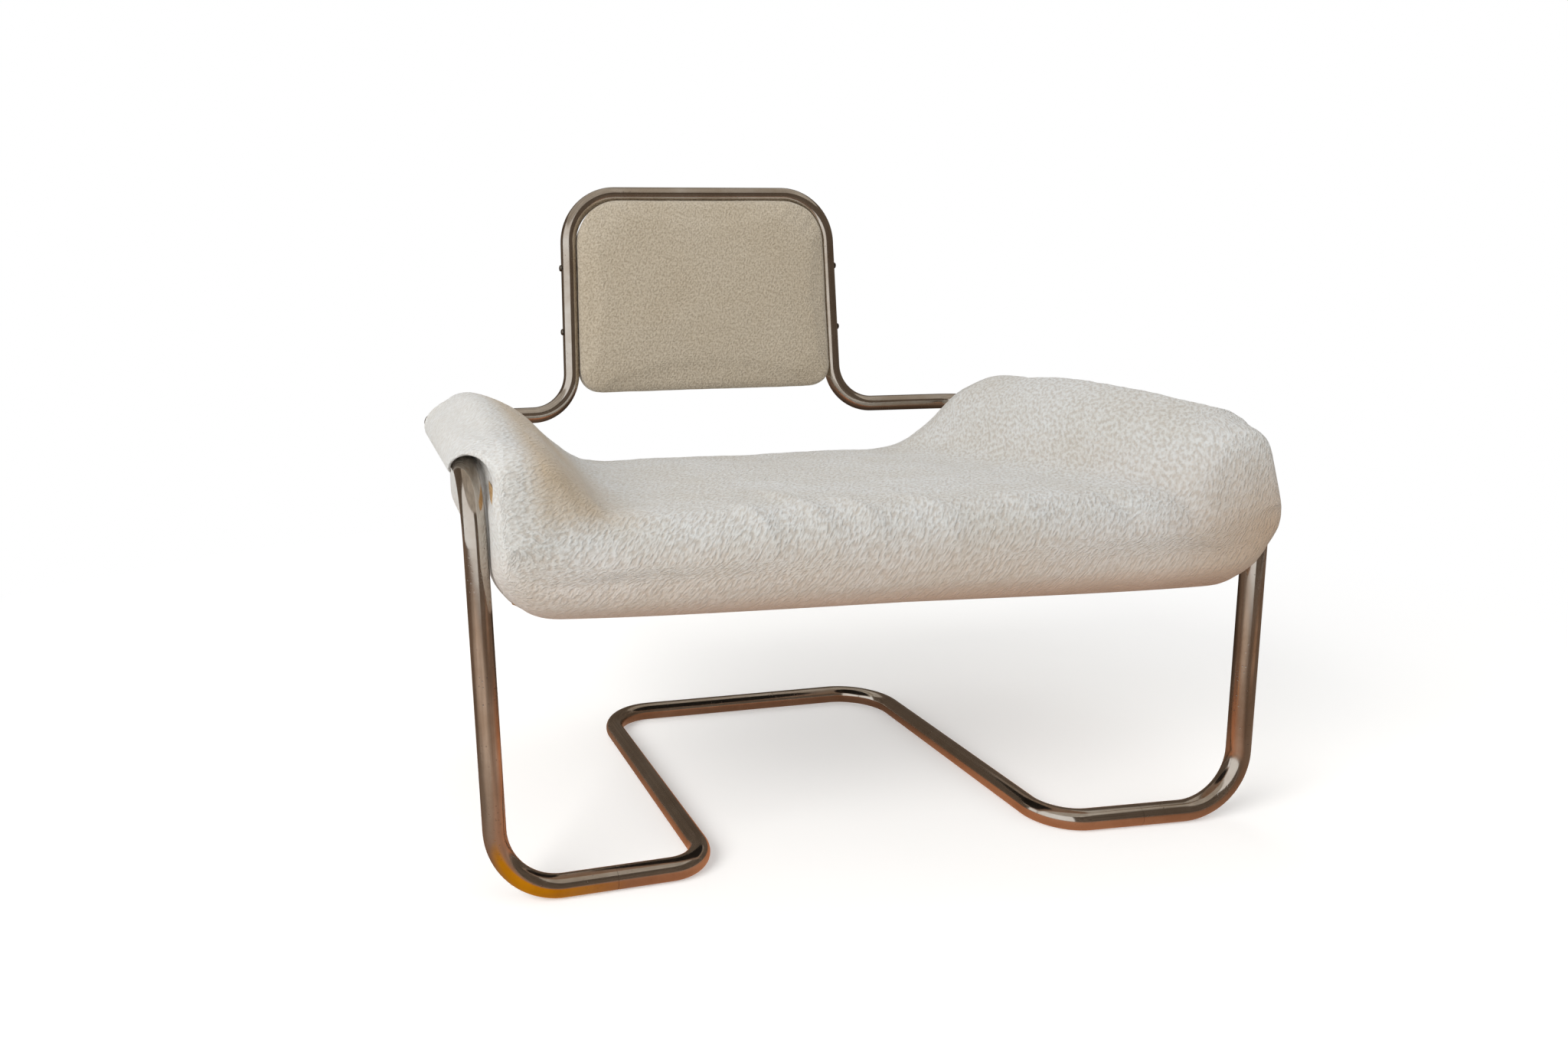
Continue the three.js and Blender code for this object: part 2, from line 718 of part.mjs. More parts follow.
function addSeat() {
  const screws = sides.flatMap(seatScrews);
  const coverHoles = screws.map((screw) => screwHole(screw));
  const cavity = padBody(coverThickness, coverThickness, coverEdgeAngles);
  const reach = railHalfWidth + tubeDiameter;
  const openHalf = seatHalfWidth - undersideMargin;
  const openFront = seatFront + undersideFrontMargin;
  const openRear = seatRear - undersideRearMargin;
  const lowest = seatTop - seatFrontThickness - cutOverrun;
  const highest = railRearHeight + wingCrestOverRail + cutOverrun;
  const mouth = boxBetween(
    new THREE.Vector3(-openHalf, openFront, lowest),
    new THREE.Vector3(openHalf, openRear, seatTop - seatRearThickness + coverThickness + cutOverrun),
  );
  addPart("seat_cover", cutAway(padBody(0, 0, padEdgeAngles), [cavity, mouth, ...coverHoles]), cream);

  const insertHoles = screws.map((screw) => insertSpace(screw));
  addPart("seat_shell", cutAway(shellBody(), insertHoles), plywood);

  const clothRings = [openFront + fitGap, openRear - fitGap].map((back) => {
    const half = openHalf - fitGap;
    const high = seatTop - seatThicknessAt(back) + coverThickness;
    const low = high - undersideClothThickness;
    const outline = [[-half, low], [half, low], [half, high], [-half, high]];
    return outline.map(([x, z]) => new THREE.Vector3(x, back, z));
  });
  addPart("seat_underside_cloth", loft(clothRings), lining);

  const frontEnd = shellFront - fitGap;
  const restStart = shellFront + fitGap;
  const frontBox = boxBetween(
    new THREE.Vector3(-reach, seatFront, lowest),
    new THREE.Vector3(reach, frontEnd, highest),
  );
  addPart("seat_front_foam", keepInside(padBody(foamInset, foamInset, foamEdgeAngles), frontBox), foam);
  const upper = padBody(shellInnerInset + 3 * fitGap, foamInset, foamEdgeAngles);
  const baseBox = boxBetween(
    new THREE.Vector3(-wingFoamHalfWidth, restStart, lowest),
    new THREE.Vector3(wingFoamHalfWidth, seatRear, highest),
  );
  addPart("seat_base_foam", keepInside(upper, baseBox), foam);
  for (const side of sides) {
    const inner = side.sign * (wingFoamHalfWidth + fitGap);
    const outer = side.sign * reach;
    const wingBox = boxBetween(
      new THREE.Vector3(Math.min(inner, outer), restStart, lowest),
      new THREE.Vector3(Math.max(inner, outer), seatRear, highest),
    );
    addPart(side.name + "_wing_foam", keepInside(upper, wingBox), foam);
    for (const screw of seatScrews(side)) {
      addPart(screw.name, screwGeometry(screw), zinc);
      const name = screw.name.replace("screw", "insert");
      const base = screw.centre.clone().addScaledVector(screw.head, -(shellOverRail + fitGap));
      const bore = seatScrewDiameter / 2 + fitGap;
      const length = shellThickness - 4 * fitGap;
      const inward = screw.head.clone().negate();
      addPart(name, insertGeometry(base, inward, length, seatInsertDiameter / 2, bore), zinc);
    }
  }
}

function insertSpace(screw) {
  const base = screw.centre.clone().addScaledVector(screw.head, -tubeRadius);
  const inward = screw.head.clone().negate();
  return rodFrom(base, inward, tubeRadius + shellThickness, seatInsertDiameter / 2 + fitGap, holeSides);
}

// Back pad, drawn in its own leaning frame: x across, z up along the uprights, y to the back
const uprightRun = new THREE.Vector3().subVectors(hoopTop(1), hoopFoot(1));
const lean = Math.atan2(uprightRun.y, uprightRun.z);
const uprightLength = Math.hypot(uprightRun.y, uprightRun.z);
const padTop = uprightLength - tubeRadius - padSideClearance;

function padHalfWidthAt(level) {
  return lerp(hoopFootHalfWidth, hoopTopHalfWidth, level / uprightLength) - tubeRadius - padSideClearance;
}

function backRing(grow, depth) {
  const points = [];
  const addCorner = (sign, rise, corner, from) => {
    const radius = Math.max(corner + grow, padLeastCorner);
    const level = rise > 0 ? padTop + grow - radius : padBottom - grow + radius;
    const centre = sign * (padHalfWidthAt(level) + grow - radius);
    for (let k = 0; k <= padCornerSteps; k++) {
      const angle = from + (Math.PI / 2) * (k / padCornerSteps);
      const x = centre + radius * Math.cos(angle);
      points.push(new THREE.Vector3(x, depth, level + radius * Math.sin(angle)));
    }
  };
  addCorner(1, -1, padBottomCorner, -Math.PI / 2);
  addCorner(1, 1, padTopCorner, 0);
  addCorner(-1, 1, padTopCorner, Math.PI / 2);
  addCorner(-1, -1, padBottomCorner, Math.PI);
  return points;
}

// The pad's outline swells over the tube at the front and draws in at its rear edge
function backPadRings(inset) {
  const rings = padGrowShares.map((share, i) => {
    const reach = padDepthShares[i] > 0 ? padRearDepth : padFrontDepth;
    return { grow: share * padBulge - inset, depth: padDepthShares[i] * (reach - inset) };
  });
  return rings.reverse();
}

function addBack() {
  const back = new THREE.Group();
  back.position.copy(hoopFoot(0));
  back.rotation.x = -lean;
  chair.add(back);
  back.updateMatrix();
  const toPad = back.matrix.clone().invert();
  const halfBoard = padBoardThickness / 2;
  const screws = sides.flatMap(backScrews);
  const holes = screws.map((screw) => screwHole(screw).applyMatrix4(toPad));
  const boardInset = coverThickness + fitGap;

  const outside = loft(backPadRings(0).map((r) => backRing(r.grow, r.depth)));
  const insideRings = backPadRings(coverThickness).map((r) => backRing(r.grow, r.depth));
  const mouth = loft([backRing(-padRearLap, 0), backRing(-padRearLap, padRearDepth + cutOverrun)]);
  addPart("back_cover", cutAway(outside, [loft(insideRings), mouth, ...holes]), taupe, back);

  const foamRings = backPadRings(boardInset).filter((r) => r.depth < -halfBoard - fitGap);
  const foamFoot = backRing(-boardInset, -halfBoard - fitGap);
  addPart("back_foam", loft([...foamRings.map((r) => backRing(r.grow, r.depth)), foamFoot]), foam, back);

  const pockets = screws.map((screw) => insertPocket(screw).applyMatrix4(toPad));
  const board = loft([backRing(-boardInset, -halfBoard), backRing(-boardInset, halfBoard)]);
  addPart("back_board", cutAway(board, pockets), plywood, back);

  const panelInset = padRearLap + fitGap;
  const panelStart = halfBoard + fitGap;
  const panel = [backRing(-panelInset, panelStart), backRing(-panelInset, panelStart + rearPanelThickness)];
  addPart("back_rear_panel", loft(panel), taupe, back);

  for (const screw of screws) {
    addPart(screw.name, screwGeometry(screw), zinc);
    const name = screw.name.replace("screw", "insert");
    const inward = screw.head.clone().negate();
    const base = insertBase(screw, fitGap);
    const bore = backScrewDiameter / 2 + fitGap;
    addPart(name, insertGeometry(base, inward, backInsertLength, backInsertDiameter / 2, bore), zinc);
  }
}

// The board's side edge lies behind the tube, the pad's clearance and its cover
function insertBase(screw, deeper) {
  const boardEdge = tubeRadius + padSideClearance + coverThickness + fitGap;
  return screw.centre.clone().addScaledVector(screw.head, -(boardEdge + deeper));
}

function insertPocket(screw) {
  const inward = screw.head.clone().negate();
  const length = cutOverrun + backInsertLength + 3 * fitGap;
  const base = insertBase(screw, -cutOverrun);
  return rodFrom(base, inward, length, backInsertDiameter / 2 + fitGap, holeSides);
}

addFrame();
addSeat();
addBack();

export default model;
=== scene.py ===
import math

import bmesh
import bpy
from mathutils import Matrix, Vector, noise


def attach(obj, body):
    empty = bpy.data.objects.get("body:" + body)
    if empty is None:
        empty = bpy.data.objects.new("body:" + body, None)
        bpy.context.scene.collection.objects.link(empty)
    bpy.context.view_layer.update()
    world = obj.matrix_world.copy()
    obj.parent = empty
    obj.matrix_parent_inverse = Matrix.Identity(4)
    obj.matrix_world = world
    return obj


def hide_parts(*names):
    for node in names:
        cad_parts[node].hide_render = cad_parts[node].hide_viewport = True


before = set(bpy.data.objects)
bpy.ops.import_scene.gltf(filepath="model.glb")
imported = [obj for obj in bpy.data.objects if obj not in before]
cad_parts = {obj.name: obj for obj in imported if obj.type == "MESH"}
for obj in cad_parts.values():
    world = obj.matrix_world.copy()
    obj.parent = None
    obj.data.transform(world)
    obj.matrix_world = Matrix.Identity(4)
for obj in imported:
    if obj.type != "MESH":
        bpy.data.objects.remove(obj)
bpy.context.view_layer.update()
mm = 0.001
chairShift = Vector((0, -16.75, 0)) * mm

# The photograph's camera: place in metres, angles in radians, the rest in its own pixels
photoCamera = {
    "place": (-0.55257, -1.26672, 0.58009),
    "turn": 0.17846,
    "down": 0.18641,
    "roll": -0.02262,
    "focal": 1295.44,
    "centre": (715.55, 686.78),
    "frame": (2048, 1366),
    "sensor": 36,
    "clip": (0.05, 100),
}


def addObject(name, data):
    made = bpy.data.objects.new(name, data)
    bpy.context.scene.collection.objects.link(made)
    return made


def makeCamera():
    view = photoCamera
    width, height = view["frame"]
    turn, down, roll = view["turn"], view["down"], view["roll"]
    forward = Vector((math.sin(turn) * math.cos(down), math.cos(turn) * math.cos(down), -math.sin(down)))
    across = Vector((math.cos(turn), -math.sin(turn), 0))
    upward = across.cross(forward)
    level = across * math.cos(roll) + upward * math.sin(roll)
    upright = upward * math.cos(roll) - across * math.sin(roll)
    data = bpy.data.cameras.new("photoCamera")
    data.sensor_fit = "HORIZONTAL"
    data.sensor_width = view["sensor"]
    data.lens = view["focal"] * data.sensor_width / width
    data.shift_x = (width / 2 - view["centre"][0]) / width
    data.shift_y = (view["centre"][1] - height / 2) / width
    data.clip_start, data.clip_end = view["clip"]
    camera = addObject("photoCamera", data)
    turned = Matrix((level, upright, -forward)).transposed().to_4x4()
    camera.matrix_world = Matrix.Translation(Vector(view["place"])) @ turned
    bpy.context.scene.camera = camera


makeCamera()
print("camera placed")


# Node building
def addNode(tree, kind, inputs=None, **settings):
    node = tree.nodes.new(kind)
    for key, value in settings.items():
        setattr(node, key, value)
    for key, value in (inputs or {}).items():
        if isinstance(value, bpy.types.NodeSocket):
            tree.links.new(value, node.inputs[key])
        else:
            node.inputs[key].default_value = value
    return node


def openMaterial(name):  # an empty material, its tree and the piece's own coordinates
    made = bpy.data.materials.new(name)
    made.use_nodes = True
    tree = made.node_tree
    tree.nodes.clear()
    return made, tree, addNode(tree, "ShaderNodeTexCoord").outputs["Object"]


def closeMaterial(tree, height, strength, depth, sockets):
    bump = addNode(tree, "ShaderNodeBump", {"Height": height, "Strength": strength, "Distance": depth})
    shader = addNode(tree, "ShaderNodeBsdfPrincipled", {**sockets, "Normal": bump.outputs[0]})
    addNode(tree, "ShaderNodeOutputMaterial", {"Surface": shader.outputs[0]})


def mathNode(tree, operation, *given):
    return addNode(tree, "ShaderNodeMath", dict(enumerate(given)), operation=operation).outputs[0]


def times(tree, first, second):
    return mathNode(tree, "MULTIPLY", first, second)


def plus(tree, first, second):
    return mathNode(tree, "ADD", first, second)


def vectorMath(tree, operation, inputs):
    return addNode(tree, "ShaderNodeVectorMath", inputs, operation=operation).outputs


def splitNode(tree, place):
    return addNode(tree, "ShaderNodeSeparateXYZ", {0: place}).outputs


def rangeNode(tree, value, low, high, newLow, newHigh):
    given = {"Value": value, "From Min": low, "From Max": high, "To Min": newLow, "To Max": newHigh}
    return addNode(tree, "ShaderNodeMapRange", given).outputs["Result"]


def mixColour(tree, share, first, second, blend="MIX"):
    node = addNode(tree, "ShaderNodeMix", {0: share, 6: first, 7: second}, data_type="RGBA", blend_type=blend)
    return node.outputs[2]


def mixFloat(tree, share, first, second):
    return addNode(tree, "ShaderNodeMix", {0: share, 2: first, 3: second}, data_type="FLOAT").outputs[0]


def noiseNode(tree, vector, scale, detail, roughness):
    given = {"Vector": vector, "Scale": scale, "Detail": detail, "Roughness": roughness}
    return addNode(tree, "ShaderNodeTexNoise", given).outputs["Fac"]


def rgba(red, green, blue):  # from sRGB bytes
    shares = (red / 255, green / 255, blue / 255)
    return (*[c / 12.92 if c <= 0.04045 else ((c + 0.055) / 1.055) ** 2.4 for c in shares], 1)


# Looped cloth: rows of short slanting loops, given as a height, a share for colour and a broad blotching
loopShape = {
    "driftScale": 55, "drift": 3 * mm, "scatter": 0.8, "softness": 0.7, "bead": (0.1, 0.75),
    "streakScale": 0.85, "streak": (0.3, 0.68), "streakShare": 0.65, "rowTurn": 4.4, "rowLift": 0.09,
    "yarn": (900, 3, 0.65), "yarnLift": 0.3, "tuft": (210, 2, 0.5), "tuftLift": 0.45, "blotch": (9, 4, 0.6),
}


def makeLoopGroup():
    shape = loopShape
    group = bpy.data.node_groups.new("loopedCloth", "ShaderNodeTree")
    for name in ("Flow", "Place", "Row", "Loop", "Slant"):
        kind = "Vector" if name in ("Flow", "Place") else "Float"
        group.interface.new_socket(name, in_out="INPUT", socket_type="NodeSocket" + kind)
    for name in ("Height", "Loops", "Blotch"):
        group.interface.new_socket(name, in_out="OUTPUT", socket_type="NodeSocketFloat")
    given = addNode(group, "NodeGroupInput").outputs
    place, row = given["Place"], given["Row"]
    drift = addNode(group, "ShaderNodeTexNoise", {"Vector": place, "Scale": shape["driftScale"], "Detail": 2})
    drift = vectorMath(group, "SUBTRACT", {0: drift.outputs["Color"], 1: (0.5, 0.5, 0.5)})[0]
    drift = vectorMath(group, "SCALE", {0: drift, "Scale": shape["drift"]})[0]
    split = splitNode(group, vectorMath(group, "ADD", {0: given["Flow"], 1: drift})[0])
    x, y = split["X"], split["Y"]
    sine, cosine = mathNode(group, "SINE", given["Slant"]), mathNode(group, "COSINE", given["Slant"])
    along = plus(group, times(group, x, cosine), times(group, y, sine))
    across = mathNode(group, "SUBTRACT", times(group, y, cosine), times(group, x, sine))
    cell = addNode(group, "ShaderNodeCombineXYZ", {
        0: mathNode(group, "DIVIDE", along, given["Loop"]), 1: mathNode(group, "DIVIDE", across, row),
    }).outputs[0]
    beads = addNode(group, "ShaderNodeTexVoronoi", {
        "Vector": cell, "Scale": 1, "Randomness": shape["scatter"], "Smoothness": shape["softness"],
    }, feature="SMOOTH_F1", voronoi_dimensions="2D").outputs["Distance"]
    streaks = addNode(group, "ShaderNodeTexNoise", {
        "Vector": cell, "Scale": shape["streakScale"], "Detail": 1, "Roughness": 0.5,
    }, noise_dimensions="2D").outputs["Fac"]
    bead = rangeNode(group, beads, *shape["bead"], 1, 0)
    loops = mixFloat(group, shape["streakShare"], bead, rangeNode(group, streaks, *shape["streak"], 0, 1))
    rows = mathNode(group, "SINE", times(group, mathNode(group, "DIVIDE", y, row), shape["rowTurn"]))
    height = plus(group, loops, times(group, rows, shape["rowLift"]))
    height = plus(group, height, times(group, noiseNode(group, place, *shape["yarn"]), shape["yarnLift"]))
    height = plus(group, height, times(group, noiseNode(group, place, *shape["tuft"]), shape["tuftLift"]))
    blotch = noiseNode(group, place, *shape["blotch"])
    addNode(group, "NodeGroupOutput", {"Height": height, "Loops": loops, "Blotch": blotch})
    return group


# What both looped cloths share: noises as scale, detail and roughness, ranges as from and to
clothFinish = {
    "loopRange": (0.15, 0.8), "soilRange": (0.4, 0.68),
    "fleckNoise": (320, 1, 0.4), "fleckRange": (0.62, 0.74),
    "patchNoise": (7, 3, 0.55), "patchRange": (0.3, 0.6), "patchLeast": 0.6,
    "surface": {"Roughness": 0.96, "Specular IOR Level": 0.12, "Sheen Weight": 0.22, "Sheen Roughness": 0.55},
}


def loopedMaterial(name, look):
    finish = clothFinish
    made, tree, place = openMaterial(name)
    flow = addNode(tree, "ShaderNodeUVMap", uv_map="clothFlow").outputs[0]
    given = {"Flow": flow, "Place": place, "Row": look["row"], "Loop": look["loop"], "Slant": look["slant"]}
    cloth = addNode(tree, "ShaderNodeGroup", given, node_tree=loopGroup).outputs
    loops = rangeNode(tree, cloth["Loops"], *finish["loopRange"], 0, 1)
    # Where the loops give way the colour goes to the darker gap tone: painted shade between the loops
    colour = mixColour(tree, loops, look["gap"], look["yarn"])
    soil = rangeNode(tree, cloth["Blotch"], *finish["soilRange"], 0, look["soiling"])
    colour = mixColour(tree, soil, colour, look["soil"], "MULTIPLY")
    flecks = noiseNode(tree, place, *finish["fleckNoise"])
    flecks = rangeNode(tree, flecks, *finish["fleckRange"], 0, look["fleck"])
    colour = mixColour(tree, flecks, colour, look["warm"])
    # painted light and shade, laid over the cloth's colour one tone at a time
    for paintedShading in look["paintedShading"]:
        colour = paintLightAndShade(tree, place, colour, *paintedShading)
    surface = {"Base Color": colour, **finish["surface"]}
    closeMaterial(tree, cloth["Height"], look["strength"], look["depth"], surface)
    return made


def paintLightAndShade(tree, place, colour, tone, strength, patchy, ramps):  # lays a tone of painted light and shade on where its ramps set in
    split, share = splitNode(tree, place), strength
    for axis, start, end in ramps:
        share = times(tree, rangeNode(tree, split[axis], start, end, 0, 1), share)
    if patchy:
        patches = noiseNode(tree, place, *clothFinish["patchNoise"])
        patches = rangeNode(tree, patches, *clothFinish["patchRange"], clothFinish["patchLeast"], 1)
        share = times(tree, share, patches)
    return mixColour(tree, share, colour, tone)


# Painted light and shade on the seat's cloth, each as tone, strength, whether it is patchy, and its ramps:
# axis, where it starts and where it is full, in metres
# painted shade on the left wing's inner slope, which faces away from the key light
paintedSlopeShade = (rgba(190, 170, 142), 0.9, True, (
    ("X", -0.408, -0.385), ("X", -0.268, -0.335), ("Y", -0.362, -0.325), ("Z", 0.385, 0.41),
))
# painted light on the left wing's outside, which faces the key light
paintedOutsideLight = (rgba(232, 232, 230), 0.3, False, (("X", -0.405, -0.43),))
# painted warm shade on the front roll's lower part
paintedFrontShade = (rgba(212, 184, 160), 0.7, False, (("Z", 0.385, 0.295),))
# painted shade on the right front corner
paintedCornerShade = (rgba(180, 154, 128), 0.9, False, (("X", 0.28, 0.42), ("Z", 0.45, 0.36)))
# painted warm bounce light in the shade along the lower hem
paintedHemShade = (rgba(184, 138, 106), 0.7, False, (("Z", 0.322, 0.294),))

seatLook = {
    "row": 2.8 * mm, "loop": 7.6 * mm, "slant": 0.98, "yarn": rgba(216, 217, 215), "gap": rgba(194, 189, 182),
    "soil": rgba(238, 232, 222), "soiling": 0.5, "warm": rgba(210, 194, 178), "fleck": 0.3,
    "strength": 0.95, "depth": 1.15 * mm,
    "paintedShading": (paintedSlopeShade, paintedOutsideLight, paintedFrontShade, paintedCornerShade, paintedHemShade),
}
backLook = {
    "row": 2.6 * mm, "loop": 3.4 * mm, "slant": 1.2, "yarn": rgba(200, 188, 168), "gap": rgba(172, 159, 139),
    "soil": rgba(240, 235, 226), "soiling": 0.4, "warm": rgba(172, 156, 136), "fleck": 0.2,
    "strength": 0.9, "depth": 1.0 * mm, "paintedShading": (),
}
loopGroup = makeLoopGroup()
seatLoops = loopedMaterial("creamLoopedCloth", seatLook)
backLoops = loopedMaterial("taupeLoopedCloth", backLook)


# In the looks below a noise is its scale, detail and roughness, and a dent its strength and depth
def chromeMaterial():  # a warm bright plate that has aged, with clouding, fine streaks and pits
    look = {
        "plate": rgba(204, 197, 188), "cloud": rgba(172, 156, 138), "pit": rgba(78, 60, 46),
        "cloudNoise": (14, 5, 0.62), "cloudRange": (0.38, 0.7), "cloudMost": 0.75, "pitMost": 0.8,
        "pitScale": 210, "pitRange": (0.09, 0.2), "pitNoise": (23, 2, 0.5), "pitSpread": (0.5, 0.66),
        "hazeRange": (0.35, 0.75), "haze": (0.07, 0.16), "streakNoise": (160, 4, 0.7), "streakRough": 0.08,
        "pitRough": 0.3, "dentNoise": (26, 2, 0.5), "dent": (0.25, 0.4 * mm),
    }
    made, tree, place = openMaterial("agedChrome")
    cloud = noiseNode(tree, place, *look["cloudNoise"])
    given = {"Vector": place, "Scale": look["pitScale"], "Randomness": 1}
    pits = addNode(tree, "ShaderNodeTexVoronoi", given)
    sparse = rangeNode(tree, noiseNode(tree, place, *look["pitNoise"]), *look["pitSpread"], 0, 1)
    pit = times(tree, rangeNode(tree, pits.outputs["Distance"], *look["pitRange"], 1, 0), sparse)
    clouding = rangeNode(tree, cloud, *look["cloudRange"], 0, look["cloudMost"])
    colour = mixColour(tree, clouding, look["plate"], look["cloud"])
    colour = mixColour(tree, times(tree, pit, look["pitMost"]), colour, look["pit"])
    rough = times(tree, noiseNode(tree, place, *look["streakNoise"]), look["streakRough"])
    rough = plus(tree, rangeNode(tree, cloud, *look["hazeRange"], *look["haze"]), rough)
    rough = plus(tree, rough, times(tree, pit, look["pitRough"]))
    dents = mathNode(tree, "SUBTRACT", noiseNode(tree, place, *look["dentNoise"]), pit)
    closeMaterial(tree, dents, *look["dent"], {"Base Color": colour, "Metallic": 1.0, "Roughness": rough})
    return made


def fixingMaterial():
    look = {
        "zinc": rgba(150, 144, 136), "dull": rgba(104, 96, 88), "wearNoise": (420, 4, 0.6),
        "wearRange": (0.35, 0.7), "roughRange": (0.3, 0.7), "rough": (0.24, 0.48), "dent": (0.2, 0.1 * mm),
    }
    made, tree, place = openMaterial("zincFixing")
    wear = noiseNode(tree, place, *look["wearNoise"])
    colour = mixColour(tree, rangeNode(tree, wear, *look["wearRange"], 0, 1), look["zinc"], look["dull"])
    rough = rangeNode(tree, wear, *look["roughRange"], *look["rough"])
    closeMaterial(tree, wear, *look["dent"], {"Base Color": colour, "Metallic": 1.0, "Roughness": rough})
    return made


def plywoodMaterial():
    look = {
        "pale": rgba(214, 180, 130), "dark": rgba(160, 118, 74), "layer": 1.5 * mm, "layerShare": 0.12,
        "stretch": (4, 40, 40), "grainNoise": (6, 6, 0.65), "grainRange": (0.3, 0.7), "grainMost": 0.8,
        "rough": 0.55, "dent": (0.25, 0.3 * mm),
    }
    made, tree, place = openMaterial("birchPlywood")
    stretched = addNode(tree, "ShaderNodeMapping", {"Vector": place, "Scale": look["stretch"]}).outputs[0]
    grain = noiseNode(tree, stretched, *look["grainNoise"])
    height = splitNode(tree, place)["Z"]
    layers = mathNode(tree, "SINE", mathNode(tree, "DIVIDE", height, look["layer"] / math.pi))
    share = rangeNode(tree, grain, *look["grainRange"], 0, look["grainMost"])
    share = plus(tree, share, times(tree, layers, look["layerShare"]))
    colour = mixColour(tree, share, look["pale"], look["dark"])
    closeMaterial(tree, grain, *look["dent"], {"Base Color": colour, "Roughness": look["rough"]})
    return made


def liningMaterial():
    look = {
        "thread": rgba(58, 54, 50), "gap": rgba(26, 24, 22), "dust": rgba(120, 112, 102), "pitch": 1.1 * mm,
        "dustNoise": (30, 4, 0.6), "dustRange": (0.45, 0.75), "dustMost": 0.25, "dent": (0.4, 0.3 * mm),
        "surface": {"Roughness": 0.93, "Specular IOR Level": 0.2},
    }
    made, tree, place = openMaterial("blackLining")
    split, turn = splitNode(tree, place), look["pitch"] / math.tau
    warp, weft = (mathNode(tree, "SINE", mathNode(tree, "DIVIDE", split[axis], turn)) for axis in ("X", "Y"))
    weave = times(tree, warp, weft)
    dust = noiseNode(tree, place, *look["dustNoise"])
    dust = rangeNode(tree, dust, *look["dustRange"], 0, look["dustMost"])
    colour = mixColour(tree, rangeNode(tree, weave, -1, 1, 0, 1), look["gap"], look["thread"])
    colour = mixColour(tree, dust, colour, look["dust"])
    closeMaterial(tree, weave, *look["dent"], {"Base Color": colour, **look["surface"]})
    return made


chrome, zinc, plywood, lining = chromeMaterial(), fixingMaterial(), plywoodMaterial(), liningMaterial()
print("materials made")


# Meshes
creaseAngle, padCrease = 0.7, math.radians(70)  # the angle between faces past which an edge stays sharp


def newPiece(bm, name, material):
    mesh = bpy.data.meshes.new(name)
    bm.to_mesh(mesh)
    bm.free()
    mesh.materials.append(material)
    return addObject(name, mesh)


def finishPiece(bm, name, material, crease=creaseAngle):
    bmesh.ops.transform(bm, matrix=Matrix.Translation(chairShift), verts=bm.verts)
    piece = newPiece(bm, name, material)
    for face in piece.data.polygons:
        face.use_smooth = True
    piece.data.set_sharp_from_angle(angle=crease)
    return piece


def keepModified(piece):  # the piece keeps what its modifiers make of it
    graph = bpy.context.evaluated_depsgraph_get()
    made = bpy.data.meshes.new_from_object(piece.evaluated_get(graph))
    piece.modifiers.clear()
    piece.data = made


def thicken(piece, thickness, even=False):  # inwards from the face that shows
    wall = piece.modifiers.new("wall", "SOLIDIFY")
    wall.thickness, wall.offset, wall.use_even_offset = thickness * mm, -1, even
    keepModified(piece)


def extrudeEdges(bm, edges):  # gives the new vertices and the new edges
    made = bmesh.ops.extrude_edge_only(bm, edges=edges)["geom"]
    verts = [v for v in made if isinstance(v, bmesh.types.BMVert)]
    return verts, [e for e in made if isinstance(e, bmesh.types.BMEdge)]


# The frame's bends, in millimetres before the chair is centred
frameTube = {
    "radius": 12.5, "wall": 2, "gap": 0.3, "sides": 40, "bendStep": math.radians(4), "leastSteps": 4,
    "hoopTop": (218, 366, 804), "hoopFoot": (225, 318, 461), "railRear": (454, 298, 461),
    "railFront": (454, -284, 449), "foot": (444, -310, 12.5), "baseTurn": (208, -299, 12.5),
    "baseRear": (219, 152, 12.5), "armJoint": 60, "footJoint": 317,
    "hoopBend": 78, "flareBend": 67, "railBend": 52, "armBend": 77,
    "footBend": 72, "turnBend": 47, "baseBend": 69,
}


def corner(name, side):
    across, back, height = frameTube[name]
    return Vector((across * side, back, height)) * mm


def railPoint(side, back):
    rear, front = corner("railRear", side), corner("railFront", side)
    return rear.lerp(front, (rear.y - back * mm) / (rear.y - front.y))


def footPoint(side):
    start, end = corner("foot", side), corner("baseTurn", side)
    return start.lerp(end, (abs(start.x) - frameTube["footJoint"] * mm) / (abs(start.x) - abs(end.x)))


def bentLine(corners, radii):
    places = [(corners[0], (corners[1] - corners[0]).normalized())]
    for i, radius in enumerate(radii):
        into = (corners[i + 1] - corners[i]).normalized()
        out = (corners[i + 2] - corners[i + 1]).normalized()
        turn = into.angle(out)
        start = corners[i + 1] - into * (radius * mm * math.tan(turn / 2))
        side = (out - into * into.dot(out)).normalized()
        steps = max(frameTube["leastSteps"], math.ceil(turn / frameTube["bendStep"]))
        for k in range(steps + 1):
            angle = turn * k / steps
            place = start + (into * math.sin(angle) + side * (1 - math.cos(angle))) * (radius * mm)
            places.append((place, into * math.cos(angle) + side * math.sin(angle)))
    places.append((corners[-1], (corners[-1] - corners[-2]).normalized()))
    return places


